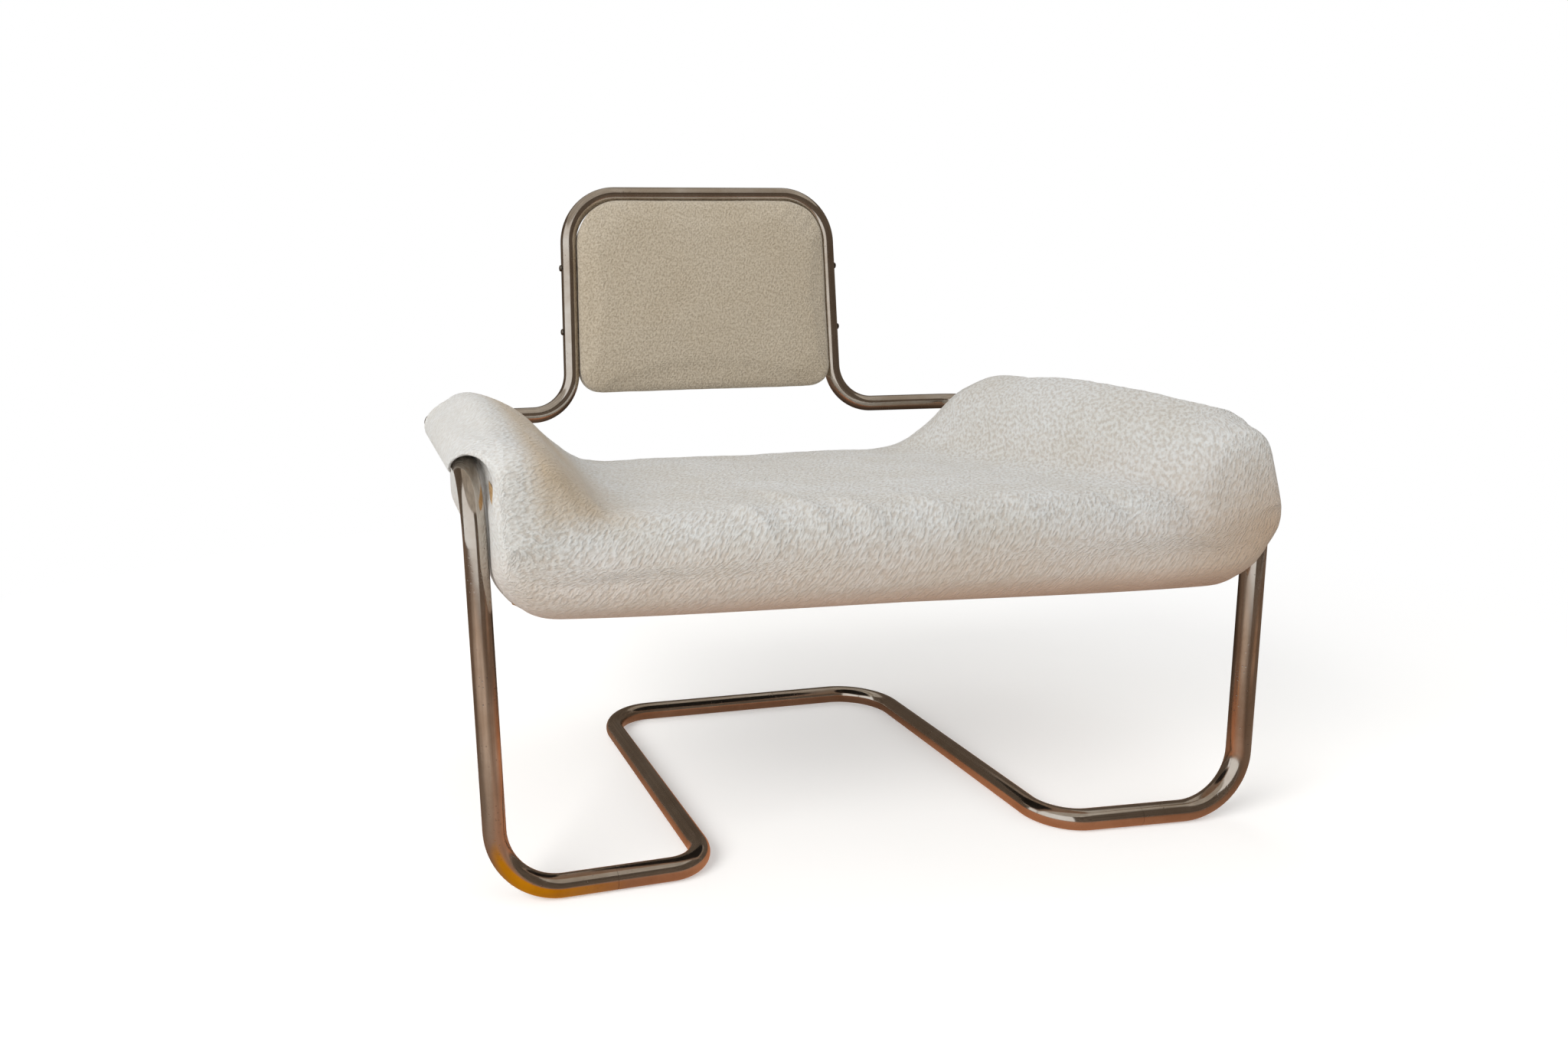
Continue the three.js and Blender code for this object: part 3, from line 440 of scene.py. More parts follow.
def sweepTube(name, corners, radii, nodes):
    places = bentLine(corners, radii)
    bm = bmesh.new()
    turned = places[0][1].to_track_quat("Z", "Y").to_matrix().to_4x4()
    start = Matrix.Translation(places[0][0]) @ turned
    bmesh.ops.create_circle(bm, segments=frameTube["sides"], radius=frameTube["radius"] * mm, matrix=start)
    edges = list(bm.edges)
    for (before, beforeRun), (after, afterRun) in zip(places, places[1:]):
        verts, edges = extrudeEdges(bm, edges)
        turn = beforeRun.rotation_difference(afterRun).to_matrix().to_4x4()
        move = Matrix.Translation(after) @ turn @ Matrix.Translation(-before)
        bmesh.ops.transform(bm, matrix=move, verts=verts)
    bmesh.ops.recalc_face_normals(bm, faces=bm.faces)
    bm.faces.ensure_lookup_table()
    if bm.faces[0].normal.dot(bm.faces[0].calc_center_median() - places[0][0]) < 0:
        bmesh.ops.reverse_faces(bm, faces=bm.faces)
    piece = finishPiece(bm, name, chrome)
    thicken(piece, frameTube["wall"], even=True)
    piece.data.set_sharp_from_angle(angle=creaseAngle)
    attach(piece, "root")
    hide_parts(*nodes)


def makeFrame():
    half = frameTube["gap"] / 2 * mm
    run, foot = {}, {}
    for side in (-1, 1):
        run[side] = (corner("railFront", side) - corner("railRear", side)).normalized() * half
        foot[side] = (corner("baseTurn", side) - corner("foot", side)).normalized() * half
    arm = {side: railPoint(side, frameTube["armJoint"]) for side in (-1, 1)}
    left = [arm[-1] - run[-1], corner("railRear", -1), corner("hoopFoot", -1), corner("hoopTop", -1)]
    right = [corner("hoopTop", 1), corner("hoopFoot", 1), corner("railRear", 1), arm[1] - run[1]]
    radii = [frameTube[key] for key in ("railBend", "flareBend", "hoopBend")]
    sweepTube("backHoop", left + right, radii + radii[::-1], ["back_hoop_tube"])
    for side, word in ((-1, "left"), (1, "right")):
        corners = [arm[side] + run[side], corner("railFront", side), corner("foot", side)]
        corners.append(footPoint(side) - foot[side])
        radii = [frameTube["armBend"], frameTube["footBend"]]
        sweepTube(word + "ArmAndLeg", corners, radii, [word + "_arm_leg_tube"])
    left = [footPoint(-1) + foot[-1], corner("baseTurn", -1), corner("baseRear", -1)]
    right = [corner("baseRear", 1), corner("baseTurn", 1), footPoint(1) + foot[1]]
    radii = [frameTube["turnBend"], frameTube["baseBend"]]
    sweepTube("baseLoop", left + right, radii + radii[::-1], ["base_tube"])


makeFrame()
print("frame swept")


# The seat pad's sections, in millimetres: x across, z up, one half from the middle outwards
seatPad = {
    "front": -345, "rear": 190, "top": 400, "frontThickness": 105, "rearThickness": 73,
    "half": 438.4, "sideDraw": 4, "sideRound": 14, "dish": 4, "hollow": 3,
    "frontRound": 48.3, "rearRound": 27.7, "nose": 0.08, "noseFollow": 0.7, "corner": 0.6,
    "wingRise": 106, "wingFall": 53, "fallStart": 40, "wingFrontRound": 30, "wingRearRound": 30,
    "wingStart": (322, 242), "wingCrest": 416, "across": (0, 0.27, 0.62, 1), "rise": (0.02, 0.3, 0.78, 1),
    "lipFront": -186, "lipRear": 138, "lipFrontFade": 128, "lipRearFade": 24, "hug": 13.6, "hugLeast": 13.1,
    "lipAngles": (99, 72, 34, -8, -38), "lipDepths": (20, 12.5, 5.5, 4.5, 3), "hugAngles": (162, -38),
    "sideDraws": (2.4, 1.9, 1.5, 1.2, 1), "sideRises": (0.97, 0.93, 0.88, 0.8, 0.72),
    "sideDrops": (0.2, 0.35, 0.5, 0.85, 1.2), "sideWall": 0.6, "dishMiddle": (0.5, 0.45),
    "steps": 88, "stationStep": 6.5, "fineStep": 3, "cornerSteps": 12, "lipSteps": 16, "endSteps": (12, 8),
}


def mix(first, second, share):
    return first + (second - first) * share


def clamp(value, low=0, high=1):
    return min(max(value, low), high)


def smooth(share):
    held = clamp(share)
    return held * held * (3 - 2 * held)


def railHeight(back):
    rear, front = frameTube["railRear"], frameTube["railFront"]
    return mix(rear[2], front[2], (rear[1] - back) / (rear[1] - front[1]))


def seatShare(back):
    return (back - seatPad["front"]) / (seatPad["rear"] - seatPad["front"])


def seatThickness(back):
    return mix(seatPad["frontThickness"], seatPad["rearThickness"], seatShare(back))


def seatFullness(back):
    pad = seatPad
    reach = min((back - pad["front"]) / pad["frontRound"], (pad["rear"] - back) / pad["rearRound"], 1)
    return max(pad["nose"], math.sqrt(max(0, 1 - (1 - reach) ** 2)))


def lipShare(back):
    pad = seatPad
    front = (back - pad["lipFront"]) / pad["lipFrontFade"] + 1
    return smooth(min(front, (pad["lipRear"] - back) / pad["lipRearFade"] + 1, 1))


def wingRise(back):
    pad = seatPad
    fall = max(0, (pad["fallStart"] - back) / (pad["fallStart"] - pad["front"]))
    front = smooth((back - pad["front"]) / pad["wingFrontRound"])
    rear = smooth((pad["rear"] - back) / pad["wingRearRound"])
    return (pad["wingRise"] - pad["wingFall"] * fall * fall) * (front * rear)


def roundRail(back, degrees, depth):
    angle, reach = math.radians(degrees), seatPad["hug"] + depth
    return (frameTube["railRear"][0] + reach * math.cos(angle), railHeight(back) + reach * math.sin(angle))


def swing(back, plain, hooked, lip):  # from the plain side's place to the lip's, round the rail
    across, height = frameTube["railRear"][0], railHeight(back)
    start = math.atan2(plain[1] - height, plain[0] - across) % math.tau
    end = math.atan2(hooked[1] - height, hooked[0] - across)
    angle = mix(start, end, lip)
    near, far = (math.hypot(x - across, z - height) for x, z in (plain, hooked))
    reach = mix(near, far, lip)
    return (across + reach * math.cos(angle), height + reach * math.sin(angle))


splineSteps = 12  # between two given points


def splinePoints(points, steps):  # an even run of points on a smooth line through the given ones
    line = [Vector(p) for p in points]
    line = [line[0] * 2 - line[1]] + line + [line[-1] * 2 - line[-2]]
    fine = []
    for a, b, c, d in zip(line, line[1:], line[2:], line[3:]):
        first, second, third = (max((q - p).length, 0.001) ** 0.5 for p, q in ((a, b), (b, c), (c, d)))
        leave = (b - a) / first - (c - a) / (first + second) + (c - b) / second
        reach = (c - b) / second - (d - b) / (second + third) + (d - c) / third
        for k in range(splineSteps):
            t = k / splineSteps
            fine.append(b * (2 * t**3 - 3 * t**2 + 1) + leave * second * (t**3 - 2 * t**2 + t)
                        + c * (3 * t**2 - 2 * t**3) + reach * second * (t**3 - t**2))
    fine.append(line[-2])
    return evenPoints(fine, steps)


def evenPoints(fine, steps):
    lengths = [0]
    for a, b in zip(fine, fine[1:]):
        lengths.append(lengths[-1] + (b - a).length)
    even, at = [], 0
    for k in range(steps + 1):
        want = lengths[-1] * k / steps
        while at < len(fine) - 2 and lengths[at + 1] < want:
            at += 1
        run = lengths[at + 1] - lengths[at]
        even.append(fine[at].lerp(fine[at + 1], clamp((want - lengths[at]) / max(run, 1e-9))))
    return even


def sideTop(back, step):
    pad = seatPad
    across = pad["half"] - pad["sideDraw"] * pad["sideDraws"][step]
    edge = pad["top"] + pad["dish"] / 2 - pad["sideDraw"] * pad["sideDrops"][step]
    return (across, edge + wingRise(back) * pad["sideRises"][step])


def topHalf(back):
    pad, rise, lip = seatPad, wingRise(back), lipShare(back)
    start = mix(*pad["wingStart"], seatShare(back))
    middle, lift = pad["dishMiddle"]
    points = [(0, pad["top"]), (start * middle, pad["top"] + pad["dish"] * lift)]
    for across, up in zip(pad["across"], pad["rise"]):
        lift = pad["dish"] * (1 - across * across / 2)
        points.append((mix(start, pad["wingCrest"], across), pad["top"] + lift + rise * up))
    for step, (degrees, depth) in enumerate(zip(pad["lipAngles"], pad["lipDepths"])):
        points.append(swing(back, sideTop(back, step), roundRail(back, degrees, depth), lip))
    return splinePoints(points, pad["steps"])


def underHalf(back):
    pad, lip = seatPad, lipShare(back)
    bottom, wall = pad["top"] - seatThickness(back), pad["half"]
    radius = seatThickness(back) * pad["corner"]
    fine = [Vector((0, bottom + pad["hollow"]))]
    for k in range(pad["cornerSteps"] + 1):
        angle = math.pi / 2 * k / pad["cornerSteps"]
        across, up = radius * math.sin(angle), radius * (1 - math.cos(angle))
        fine.append(Vector((wall - radius + across, bottom + up)))
    edge = sideTop(back, len(pad["sideDraws"]) - 1)[1]
    plainTop = mix(bottom + radius, edge, pad["sideWall"])
    fine.append(Vector((wall, mix(plainTop, railHeight(back) - pad["hug"], lip))))
    for k in range(1, pad["lipSteps"] + 1):
        share = k / pad["lipSteps"]
        plain = (wall - pad["sideDraw"] * share * share, mix(plainTop, edge, share))
        hooked = roundRail(back, mix(*pad["hugAngles"], share), 0)
        fine.append(Vector(swing(back, plain, hooked, lip)))
    return evenPoints(fine, pad["steps"])


def roundShares(steps):  # from an end's nose inwards, closer together at the nose
    return [1 - math.cos(math.pi / 2 * k / steps) for k in range(steps)]


def seatStations():
    pad = seatPad
    frontSteps, rearSteps = pad["endSteps"]
    frontEnd, rearEnd = pad["front"] + pad["frontRound"], pad["rear"] - pad["rearRound"]
    stations = [pad["front"] + pad["frontRound"] * share for share in roundShares(frontSteps)]
    back = frontEnd
    while back < rearEnd - pad["fineStep"]:
        stations.append(back)
        back += pad["stationStep"] if lipShare(back) in (0, 1) else pad["fineStep"]
    stations.append(rearEnd)
    return stations + [pad["rear"] - pad["rearRound"] * share for share in reversed(roundShares(rearSteps))]


def seatRing(back):
    pad, full = seatPad, seatFullness(back)
    middle = pad["top"] - seatThickness(back) / 2
    narrow = 1 - (1 - full) * pad["sideRound"] / pad["half"]
    under, top = underHalf(back), topHalf(back)
    between = [mix(middle, (low.y + high.y) / 2, pad["noseFollow"]) for low, high in zip(under, top)]
    placed = []
    for place, nose in zip(under + top[::-1], between + between[::-1]):
        placed.append(Vector((place.x * narrow, back, nose + (place.y - nose) * full)))
    mirrored = [Vector((-p.x, p.y, p.z)) for p in placed[1:-1]]
    return placed + mirrored[::-1]


def loftRings(bm, rings):  # the first ring is a circle, moved to its section, and the others are extruded
    count = len(rings[0])
    verts = bmesh.ops.create_circle(bm, segments=count, radius=1)["verts"]
    columns = [list(verts)]
    for vert, place in zip(verts, rings[0]):
        vert.co = place * mm
    edges = list(bm.edges)
    for ring in rings[1:]:
        verts, edges = extrudeEdges(bm, edges)
        fresh = set(verts)
        row = []
        for vert in columns[-1]:
            row.append(next(e.other_vert(vert) for e in vert.link_edges if e.other_vert(vert) in fresh))
        for vert, place in zip(row, ring):
            vert.co = place * mm
        columns.append(row)
    return columns


def flatNose(ring, half):  # the first and last rings close to one line
    closed = list(ring)
    for i in range(half + 1):
        for place in {i, (len(ring) - i) % len(ring)}:
            other = (2 * half + 1 - place) % len(ring)
            closed[place] = closed[other] = (ring[place] + ring[other]) / 2
    return closed


def lengthsFrom(row, start, walks):  # lengths along a ring from its start, below 0 the other way
    lengths = [0] * len(row)
    for sign, walk in walks:
        before = start
        for c in walk:
            lengths[c] = lengths[before] + sign * (row[c].co - row[before].co).length
            before = c
    return lengths


def flowAcross(columns, half):  # how far each column lies from the seat's middle, under it and over it
    count, middle = len(columns[0]), 2 * half + 1
    underWalks = ((1, range(1, half + 2)), (-1, range(count - 1, count - half - 2, -1)))
    topWalks = ((1, range(middle - 1, half - 1, -1)), (-1, range(middle + 1, middle + half + 2)))
    under = [lengthsFrom(row, 0, underWalks) for row in columns]
    return under, [lengthsFrom(row, middle, topWalks) for row in columns]


def flowAlong(columns):
    lengths = [[0] * len(columns[0])]
    for before, row in zip(columns, columns[1:]):
        lengths.append([v + (b.co - a.co).length for v, a, b in zip(lengths[-1], before, row)])
    return lengths


def writeSeatFlow(bm, columns, half):
    layer = bm.loops.layers.uv.new("clothFlow")
    under, top = flowAcross(columns, half)
    along = flowAlong(columns)
    count = len(columns[0])
    place = {vert: (j, c) for j, row in enumerate(columns) for c, vert in enumerate(row)}
    for face in bm.faces:
        at = [place[loop.vert][1] for loop in face.loops]
        beneath = all(c <= half or c >= count - half for c in at)
        for loop in face.loops:
            j, c = place[loop.vert]
            if beneath:
                loop[layer].uv = (under[j][c], -along[j][c])
            else:
                loop[layer].uv = (top[j][c], along[j][c])


def swell(piece, held, swelling):  # blows the piece up a little, then keeps each point within its reach
    scene = bpy.context.scene
    rest = [v.co.copy() for v in piece.data.vertices]
    group = piece.vertex_groups.new(name="held")
    for vert, weight in zip(piece.data.vertices, held):
        group.add([vert.index], weight, "REPLACE")
    cloth = piece.modifiers.new("swell", "CLOTH")
    settings = cloth.settings
    settings.quality, settings.mass = swelling["quality"], swelling["mass"]
    settings.tension_stiffness = settings.compression_stiffness = swelling["stiffness"]
    settings.bending_stiffness = swelling["bending"]
    settings.use_pressure = True
    settings.uniform_pressure_force = swelling["pressure"]
    settings.shrink_min = swelling["shrink"]
    settings.vertex_group_mass = "held"
    settings.effector_weights.gravity = 0
    cloth.point_cache.frame_start, cloth.point_cache.frame_end = 1, swelling["frames"]
    for step in range(1, swelling["frames"] + 1):
        scene.frame_set(step)
    made = piece.evaluated_get(bpy.context.evaluated_depsgraph_get()).data
    blown = [v.co.copy() for v in made.vertices]
    piece.modifiers.clear()
    piece.vertex_groups.clear()
    scene.frame_set(1)
    for vert, start, end, weight in zip(piece.data.vertices, rest, blown, held):
        move = end - start
        reach = swelling["reach"] * (1 - weight)
        vert.co = start + move * min(1, reach / max(move.length, 1e-9))
    piece.data.update()


def finishPad(bm, name, material, held, swelling):  # blown up, then made finer
    piece = finishPiece(bm, name, material, padCrease)
    swell(piece, held, swelling)
    finer = piece.modifiers.new("finer", "SUBSURF")
    finer.levels = finer.render_levels = 1
    keepModified(piece)
    return piece


def lumpiness(place, lumps):  # unevenness from noise of several sizes, each with its height
    return sum(noise.noise(place / size) * height for size, height in lumps)


seatSwelling = {
    "pressure": 4, "stiffness": 12, "bending": 1.5, "shrink": -0.003, "quality": 5, "mass": 0.35,
    "frames": 20, "reach": 4 * mm,
}

# Soft folds of the seat's cloth: start and end in plan, height (a hollow below 0), half-width, in millimetres
seatFolds = [
    ((-112, -190), (-99, -332), 6.2, 14), ((-64, -255), (-34, -340), 5.2, 12),
    ((-178, -275), (-150, -342), 4.2, 11), ((10, -245), (50, -338), 3.6, 13),
    ((322, -262), (334, -343), -5.6, 13), ((236, -285), (266, -340), -3.8, 12),
    ((120, -265), (146, -340), 2.6, 13),
]
foldShape = {"bow": 6, "overrunShare": 0.2, "fadeShare": 0.6}


def foldLift(place):
    over, fade, lift = foldShape["overrunShare"], foldShape["fadeShare"], 0
    for start, end, height, width in seatFolds:
        a, b = Vector(start), Vector(end)
        run = b - a
        spot = Vector((place.x, place.y)) - a
        share = spot.dot(run) / run.length_squared
        if not -over < share < 1 + over:
            continue
        bow = foldShape["bow"] * math.sin(math.pi * clamp(share))
        off = (spot.x * run.y - spot.y * run.x) / run.length - bow
        ends = smooth((share + over) / fade) * smooth((1 + over - share) / fade)
        lift += height * ends * math.exp(-((off / width) ** 2))
    return lift


def railGap(place):  # a point's distance from a rail's axis, in millimetres, before the chair is centred
    height = railHeight(place.y)
    return math.hypot(abs(place.x) - frameTube["railRear"][0], place.z - height)


# What holds the seat's cloth: the rails' grip, the flat underside and the outer sides, each with its fade
seatHold = {
    "rail": (20, 26), "railMargin": 60, "under": (0.78, 0.18), "side": (418, 18), "sideFacing": (0.5, 0.3),
}


def past(value, start, fade):  # 0 up to the start, 1 a fade later
    return smooth((value - start) / fade)


def seatHeld(place, normal):
    hold, margin = seatHold, seatHold["railMargin"]
    beside = seatPad["lipFront"] - margin < place.y < seatPad["lipRear"] + margin
    rail = 1 - past(railGap(place), *hold["rail"]) if beside else 0
    side = past(abs(place.x), *hold["side"]) * past(abs(normal.x), *hold["sideFacing"])
    return clamp(max(rail, past(-normal.z, *hold["under"]), side))


# Last shaping of the seat's surface: weld, lumps, where the folds and the front's hanging edge begin and fade
seatFinish = {
    "weld": 0.02, "shrink": 1.5, "lumps": ((60, 0.9), (21, 0.5), (6, 0.35)), "topFacing": (0.1, 0.4),
    "foldsBack": -120, "droop": 9.5, "sag": 6.5, "edge": (-370, 50), "droopBack": (262, 50),
    "railReach": (-280, 290),
}


def makeSeatPad():
    half, finish = seatPad["steps"], seatFinish
    rings = [seatRing(back) for back in seatStations()]
    rings[0], rings[-1] = flatNose(rings[0], half), flatNose(rings[-1], half)
    bm = bmesh.new()
    columns = loftRings(bm, rings)
    writeSeatFlow(bm, columns, half)
    bmesh.ops.remove_doubles(bm, verts=bm.verts, dist=finish["weld"] * mm)
    bmesh.ops.recalc_face_normals(bm, faces=bm.faces)
    bm.normal_update()
    held = [seatHeld(v.co / mm, v.normal) for v in bm.verts]
    for vert, weight in zip(bm.verts, held):
        vert.co -= vert.normal * (finish["shrink"] * mm * (1 - weight))
    pad = finishPad(bm, "seatPad", seatLoops, held, seatSwelling)
    normals = [v.normal.copy() for v in pad.data.vertices]
    for vert, normal in zip(pad.data.vertices, normals):
        vert.co = shapedSeat((vert.co - chairShift) / mm, normal) * mm + chairShift
    pad.data.update()
    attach(pad, "root")
    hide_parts("seat_cover", "seat_front_foam", "seat_base_foam", "left_wing_foam", "right_wing_foam")


def shapedSeat(place, normal):  # lumps and folds, then the hanging front edge, then clear of the rails
    finish = seatFinish
    top = past(normal.z, *finish["topFacing"])
    calm = 1 - seatHeld(place, normal)
    fold = foldLift(place) * top if top > 0 and place.y < finish["foldsBack"] else 0
    low = past(-place.z, *finish["edge"]) * past(-place.y, *finish["droopBack"])
    across = place.x / seatPad["half"]
    place = place + normal * ((fold + lumpiness(place, finish["lumps"])) * calm)
    place.z -= (across * finish["droop"] + (1 - across**4) * finish["sag"]) * low
    gap, least = railGap(place), seatPad["hugLeast"]
    front, rear = finish["railReach"]
    if gap < least and front < place.y < rear:
        axis = Vector((math.copysign(frameTube["railRear"][0], place.x), place.y, railHeight(place.y)))
        place = axis + (place - axis) * (least / max(gap, 1e-6))
    return place


makeSeatPad()
print("seat pad made")


# The back pad leans with the hoop: x across, z up the uprights, y to the back, in millimetres from its foot
hoopFoot, hoopTop = frameTube["hoopFoot"], frameTube["hoopTop"]
hoopBack, hoopRise = hoopTop[1] - hoopFoot[1], hoopTop[2] - hoopFoot[2]
backPad = {
    "foot": (0, *hoopFoot[1:]),
    "lean": math.atan2(hoopBack, hoopRise), "length": math.hypot(hoopBack, hoopRise),
    "bottom": 33, "topGap": 13.5, "footHalf": hoopFoot[0], "topHalf": hoopTop[0], "sideGap": 13.5,
    "bottomCorner": 36, "topCorner": 67, "swell": 3.5, "columns": 76, "rows": 56,
    "edge": (
        (0, -13.8), (1.05, -19.8), (4, -23.2), (8.4, -25.6),
        (16, -27.4), (24.5, -28.4), (50, -29.8), (110, -31.5),
    ),
    "rim": (
        (0, -6), (0, 3), (0, 11.3), (-0.6, 12.6), (-2.1, 13.3), (-8, 13.5), (-12.8, 13.5), (-13.2, 12.6),
    ),
    "panelInset": 13.3, "panelDepths": (9.4, 12.9), "panelRound": 0.9,
    "ease": 0.4, "weld": 0.01, "facing": 0.75, "holdFrom": (-24, 10),
    "shrink": 1.2, "lumps": ((70, 0.64), (24, 0.28)),
}


def backHalfAt(level):
    pad = backPad
    return mix(pad["footHalf"], pad["topHalf"], level / pad["length"]) - pad["sideGap"]


def backOutline(across, up, grow):  # a place in the square from -1 to 1, laid into the pad's rounded outline
    pad = backPad
    low, high = pad["bottom"] - grow, pad["length"] - pad["topGap"] + grow
    level = mix(low, high, (up + 1) / 2)
    radius = (pad["topCorner"] if up > 0 else pad["bottomCorner"]) + grow
    half = backHalfAt(level) + grow
    x = abs(across) * half
    rise = level - (high - radius) if up > 0 else (low + radius) - level
    p, q = (x - (half - radius)) / radius, rise / radius
    if p > 0 and q > 0:
        p, q = p * math.sqrt(1 - q * q / 2), q * math.sqrt(1 - p * p / 2)
        x = half - radius + p * radius
        level = high - radius + q * radius if up > 0 else low + radius - q * radius
    return math.copysign(x, across), level


def backInside(x, level, grow):  # the distance in from the pad's outline
    pad = backPad
    low, high = pad["bottom"] - grow, pad["length"] - pad["topGap"] + grow
    radius = (pad["topCorner"] if level > (low + high) / 2 else pad["bottomCorner"]) + grow
    half = backHalfAt(level) + grow
    dx = abs(x) - (half - radius)
    dz = max(level - (high - radius), (low + radius) - level)
    outside = math.hypot(max(dx, 0), max(dz, 0)) + min(max(dx, dz), 0)
    return max(0, radius - outside)


def stepped(table, value):  # between the table's points, eased a little at each
    for (a, low), (b, high) in zip(table, table[1:]):
        if value <= b:
            share = (value - a) / (b - a)
            return mix(low, high, mix(share, smooth(share), backPad["ease"]))
    return table[-1][1]


def backPlace(point):  # from the pad's leaning frame to the chair's, in metres
    turn = Matrix.Rotation(-backPad["lean"], 3, "X")
    return (Vector(backPad["foot"]) + turn @ Vector(point)) * mm


def addBackGrid(bm, grow, depthAt):  # a grid laid into the outline; gives each point's place in the square
    pad, square = backPad, {}
    made = bmesh.ops.create_grid(bm, x_segments=pad["columns"], y_segments=pad["rows"], size=1)["verts"]
    for vert in made:
        square[vert] = (vert.co.x, vert.co.y)
        x, level = backOutline(vert.co.x, vert.co.y, grow)
        vert.co = Vector((x, depthAt(x, level), level))
    return square


def makeBackPad():
    pad = backPad
    bm = bmesh.new()
    layer = bm.loops.layers.uv.new("clothFlow")
    grow = pad["swell"]
    square = addBackGrid(bm, grow, lambda x, level: stepped(pad["edge"], backInside(x, level, grow)))
    edges = [e for e in bm.edges if e.is_boundary]
    for ringGrow, depth in pad["rim"]:
        verts, edges = extrudeEdges(bm, edges)
        fresh = set(verts)
        for vert in verts:
            others = [e.other_vert(vert) for e in vert.link_edges]
            square[vert] = next(square[other] for other in others if other not in fresh)
            x, level = backOutline(*square[vert], ringGrow)
            vert.co = Vector((x, depth, level))
    lastGrow, lastDepth = pad["rim"][-1]
    addBackGrid(bm, lastGrow, lambda x, level: lastDepth)
    bmesh.ops.remove_doubles(bm, verts=bm.verts, dist=pad["weld"])
    bmesh.ops.recalc_face_normals(bm, faces=bm.faces)
    for face in bm.faces:
        for loop in face.loops:
            spot = loop.vert.co
            side, ends = abs(face.normal.x) > pad["facing"], abs(face.normal.z) > pad["facing"]
            loop[layer].uv = (spot.y * mm if side else spot.x * mm, spot.y * mm if ends else spot.z * mm)
    bm.normal_update()
    held = [past(v.co.y, *pad["holdFrom"]) for v in bm.verts]
    for vert, weight in zip(bm.verts, held):
        vert.co = backPlace(vert.co - vert.normal * (pad["shrink"] * (1 - weight)))
    piece = finishPad(bm, "backPad", backLoops, held, backSwelling)
    normals = [v.normal.copy() for v in piece.data.vertices]
    for vert, normal in zip(piece.data.vertices, normals):
        vert.co += normal * lumpiness(vert.co / mm, pad["lumps"]) * mm
    piece.data.update()
    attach(piece, "root")
    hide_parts("back_cover", "back_foam")


backSwelling = {
    "pressure": 3, "stiffness": 12, "bending": 0.6, "shrink": -0.004, "quality": 5, "mass": 0.35,
    "frames": 16, "reach": 3 * mm,
}
makeBackPad()
print("back pad made")


# The cloth that closes the seat's underside, and the board behind the back pad
underCloth = {
    "half": 360.2, "front": -269.7, "rear": 157.7, "thickness": 1, "above": 1.7, "sag": 1.5,
    "columns": 60, "rows": 36,
    "pucker": 0.14, "puckerTurn": 75, "puckerFrom": (0.85, 0.15),
}


def makeUnderCloth():
    cloth = underCloth
    bm = bmesh.new()
    bmesh.ops.create_grid(bm, x_segments=cloth["columns"], y_segments=cloth["rows"], size=1)
    for vert in bm.verts:
        across, along = vert.co.x, vert.co.y
        back = mix(cloth["front"], cloth["rear"], (along + 1) / 2)
        sag = cloth["sag"] * (1 - across**2) * (1 - along**2)
        pucker = cloth["pucker"] * past(abs(along), *cloth["puckerFrom"])
        lift = cloth["above"] - sag + pucker * math.sin(across * cloth["puckerTurn"])
        height = seatPad["top"] - seatThickness(back) + lift
        vert.co = Vector((across * cloth["half"], back, height)) * mm
    bmesh.ops.reverse_faces(bm, faces=bm.faces)
    piece = finishPiece(bm, "underCloth", lining)
    thicken(piece, cloth["thickness"])
    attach(piece, "root")
    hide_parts("seat_underside_cloth")


def makeRearPanel():
    pad = backPad
    bm = bmesh.new()
    layer = bm.loops.layers.uv.new("clothFlow")
    bmesh.ops.create_grid(bm, x_segments=pad["columns"], y_segments=pad["rows"], size=1)
    front, rear = pad["panelDepths"]
    for vert in bm.verts:
        x, level = backOutline(vert.co.x, vert.co.y, -pad["panelInset"])
        vert.co = Vector((x, rear, level))
    edges = [e for e in bm.edges if e.is_boundary]
    verts, rims = extrudeEdges(bm, edges)
    for vert in verts:
        vert.co.y = front
    bmesh.ops.holes_fill(bm, edges=rims, sides=0)
    bmesh.ops.recalc_face_normals(bm, faces=bm.faces)
    rounding = {"offset": pad["panelRound"], "affect": "EDGES", "segments": 3, "profile": 0.5, "material": -1}
    bmesh.ops.bevel(bm, geom=edges, **rounding)
    for face in bm.faces:
        for loop in face.loops:
            loop[layer].uv = (loop.vert.co.x * mm, loop.vert.co.z * mm)
    for vert in bm.verts:
        vert.co = backPlace(vert.co)
    piece = finishPiece(bm, "backRearPanel", backLoops)
    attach(piece, "root")
    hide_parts("back_rear_panel")


makeUnderCloth()
makeRearPanel()
print("lining and rear panel made")


# Screws: a domed head with a socket over a plain shank, the base of the head on the tube
screwSizes = {
    "seat": {"shank": 5, "head": 10, "height": 2.4, "reach": 35.2, "socket": 3},
    "back": {"shank": 6, "head": 10, "height": 3, "reach": 46.8, "socket": 4},
    "sleeve": {"shank": 5, "head": 8, "height": 1.6, "reach": 7.5, "socket": 2.5},
}


screwCut = {
    "chamfer": 0.5, "domeSteps": 9, "domeRound": 0.8, "rim": 0.25, "flat": 0.2, "lip": 0.1, "lipDrop": 0.15,
    "wallShare": 0.35, "floorShare": 0.3, "turnSteps": 24, "weld": 0.01, "seatGap": 0.3,
    "crease": math.radians(35),
}
screwPlaces = {
    "seatTilt": math.radians(100), "seatBacks": (-150, -12, 126), "backHeights": (590, 690), "grubReach": 20,
}


def spinRound(bm, geom, angle, steps, closed):  # about the upright axis
    bmesh.ops.spin(bm, geom=geom, axis=(0, 0, 1), cent=(0, 0, 0), angle=angle, steps=steps, use_merge=closed)


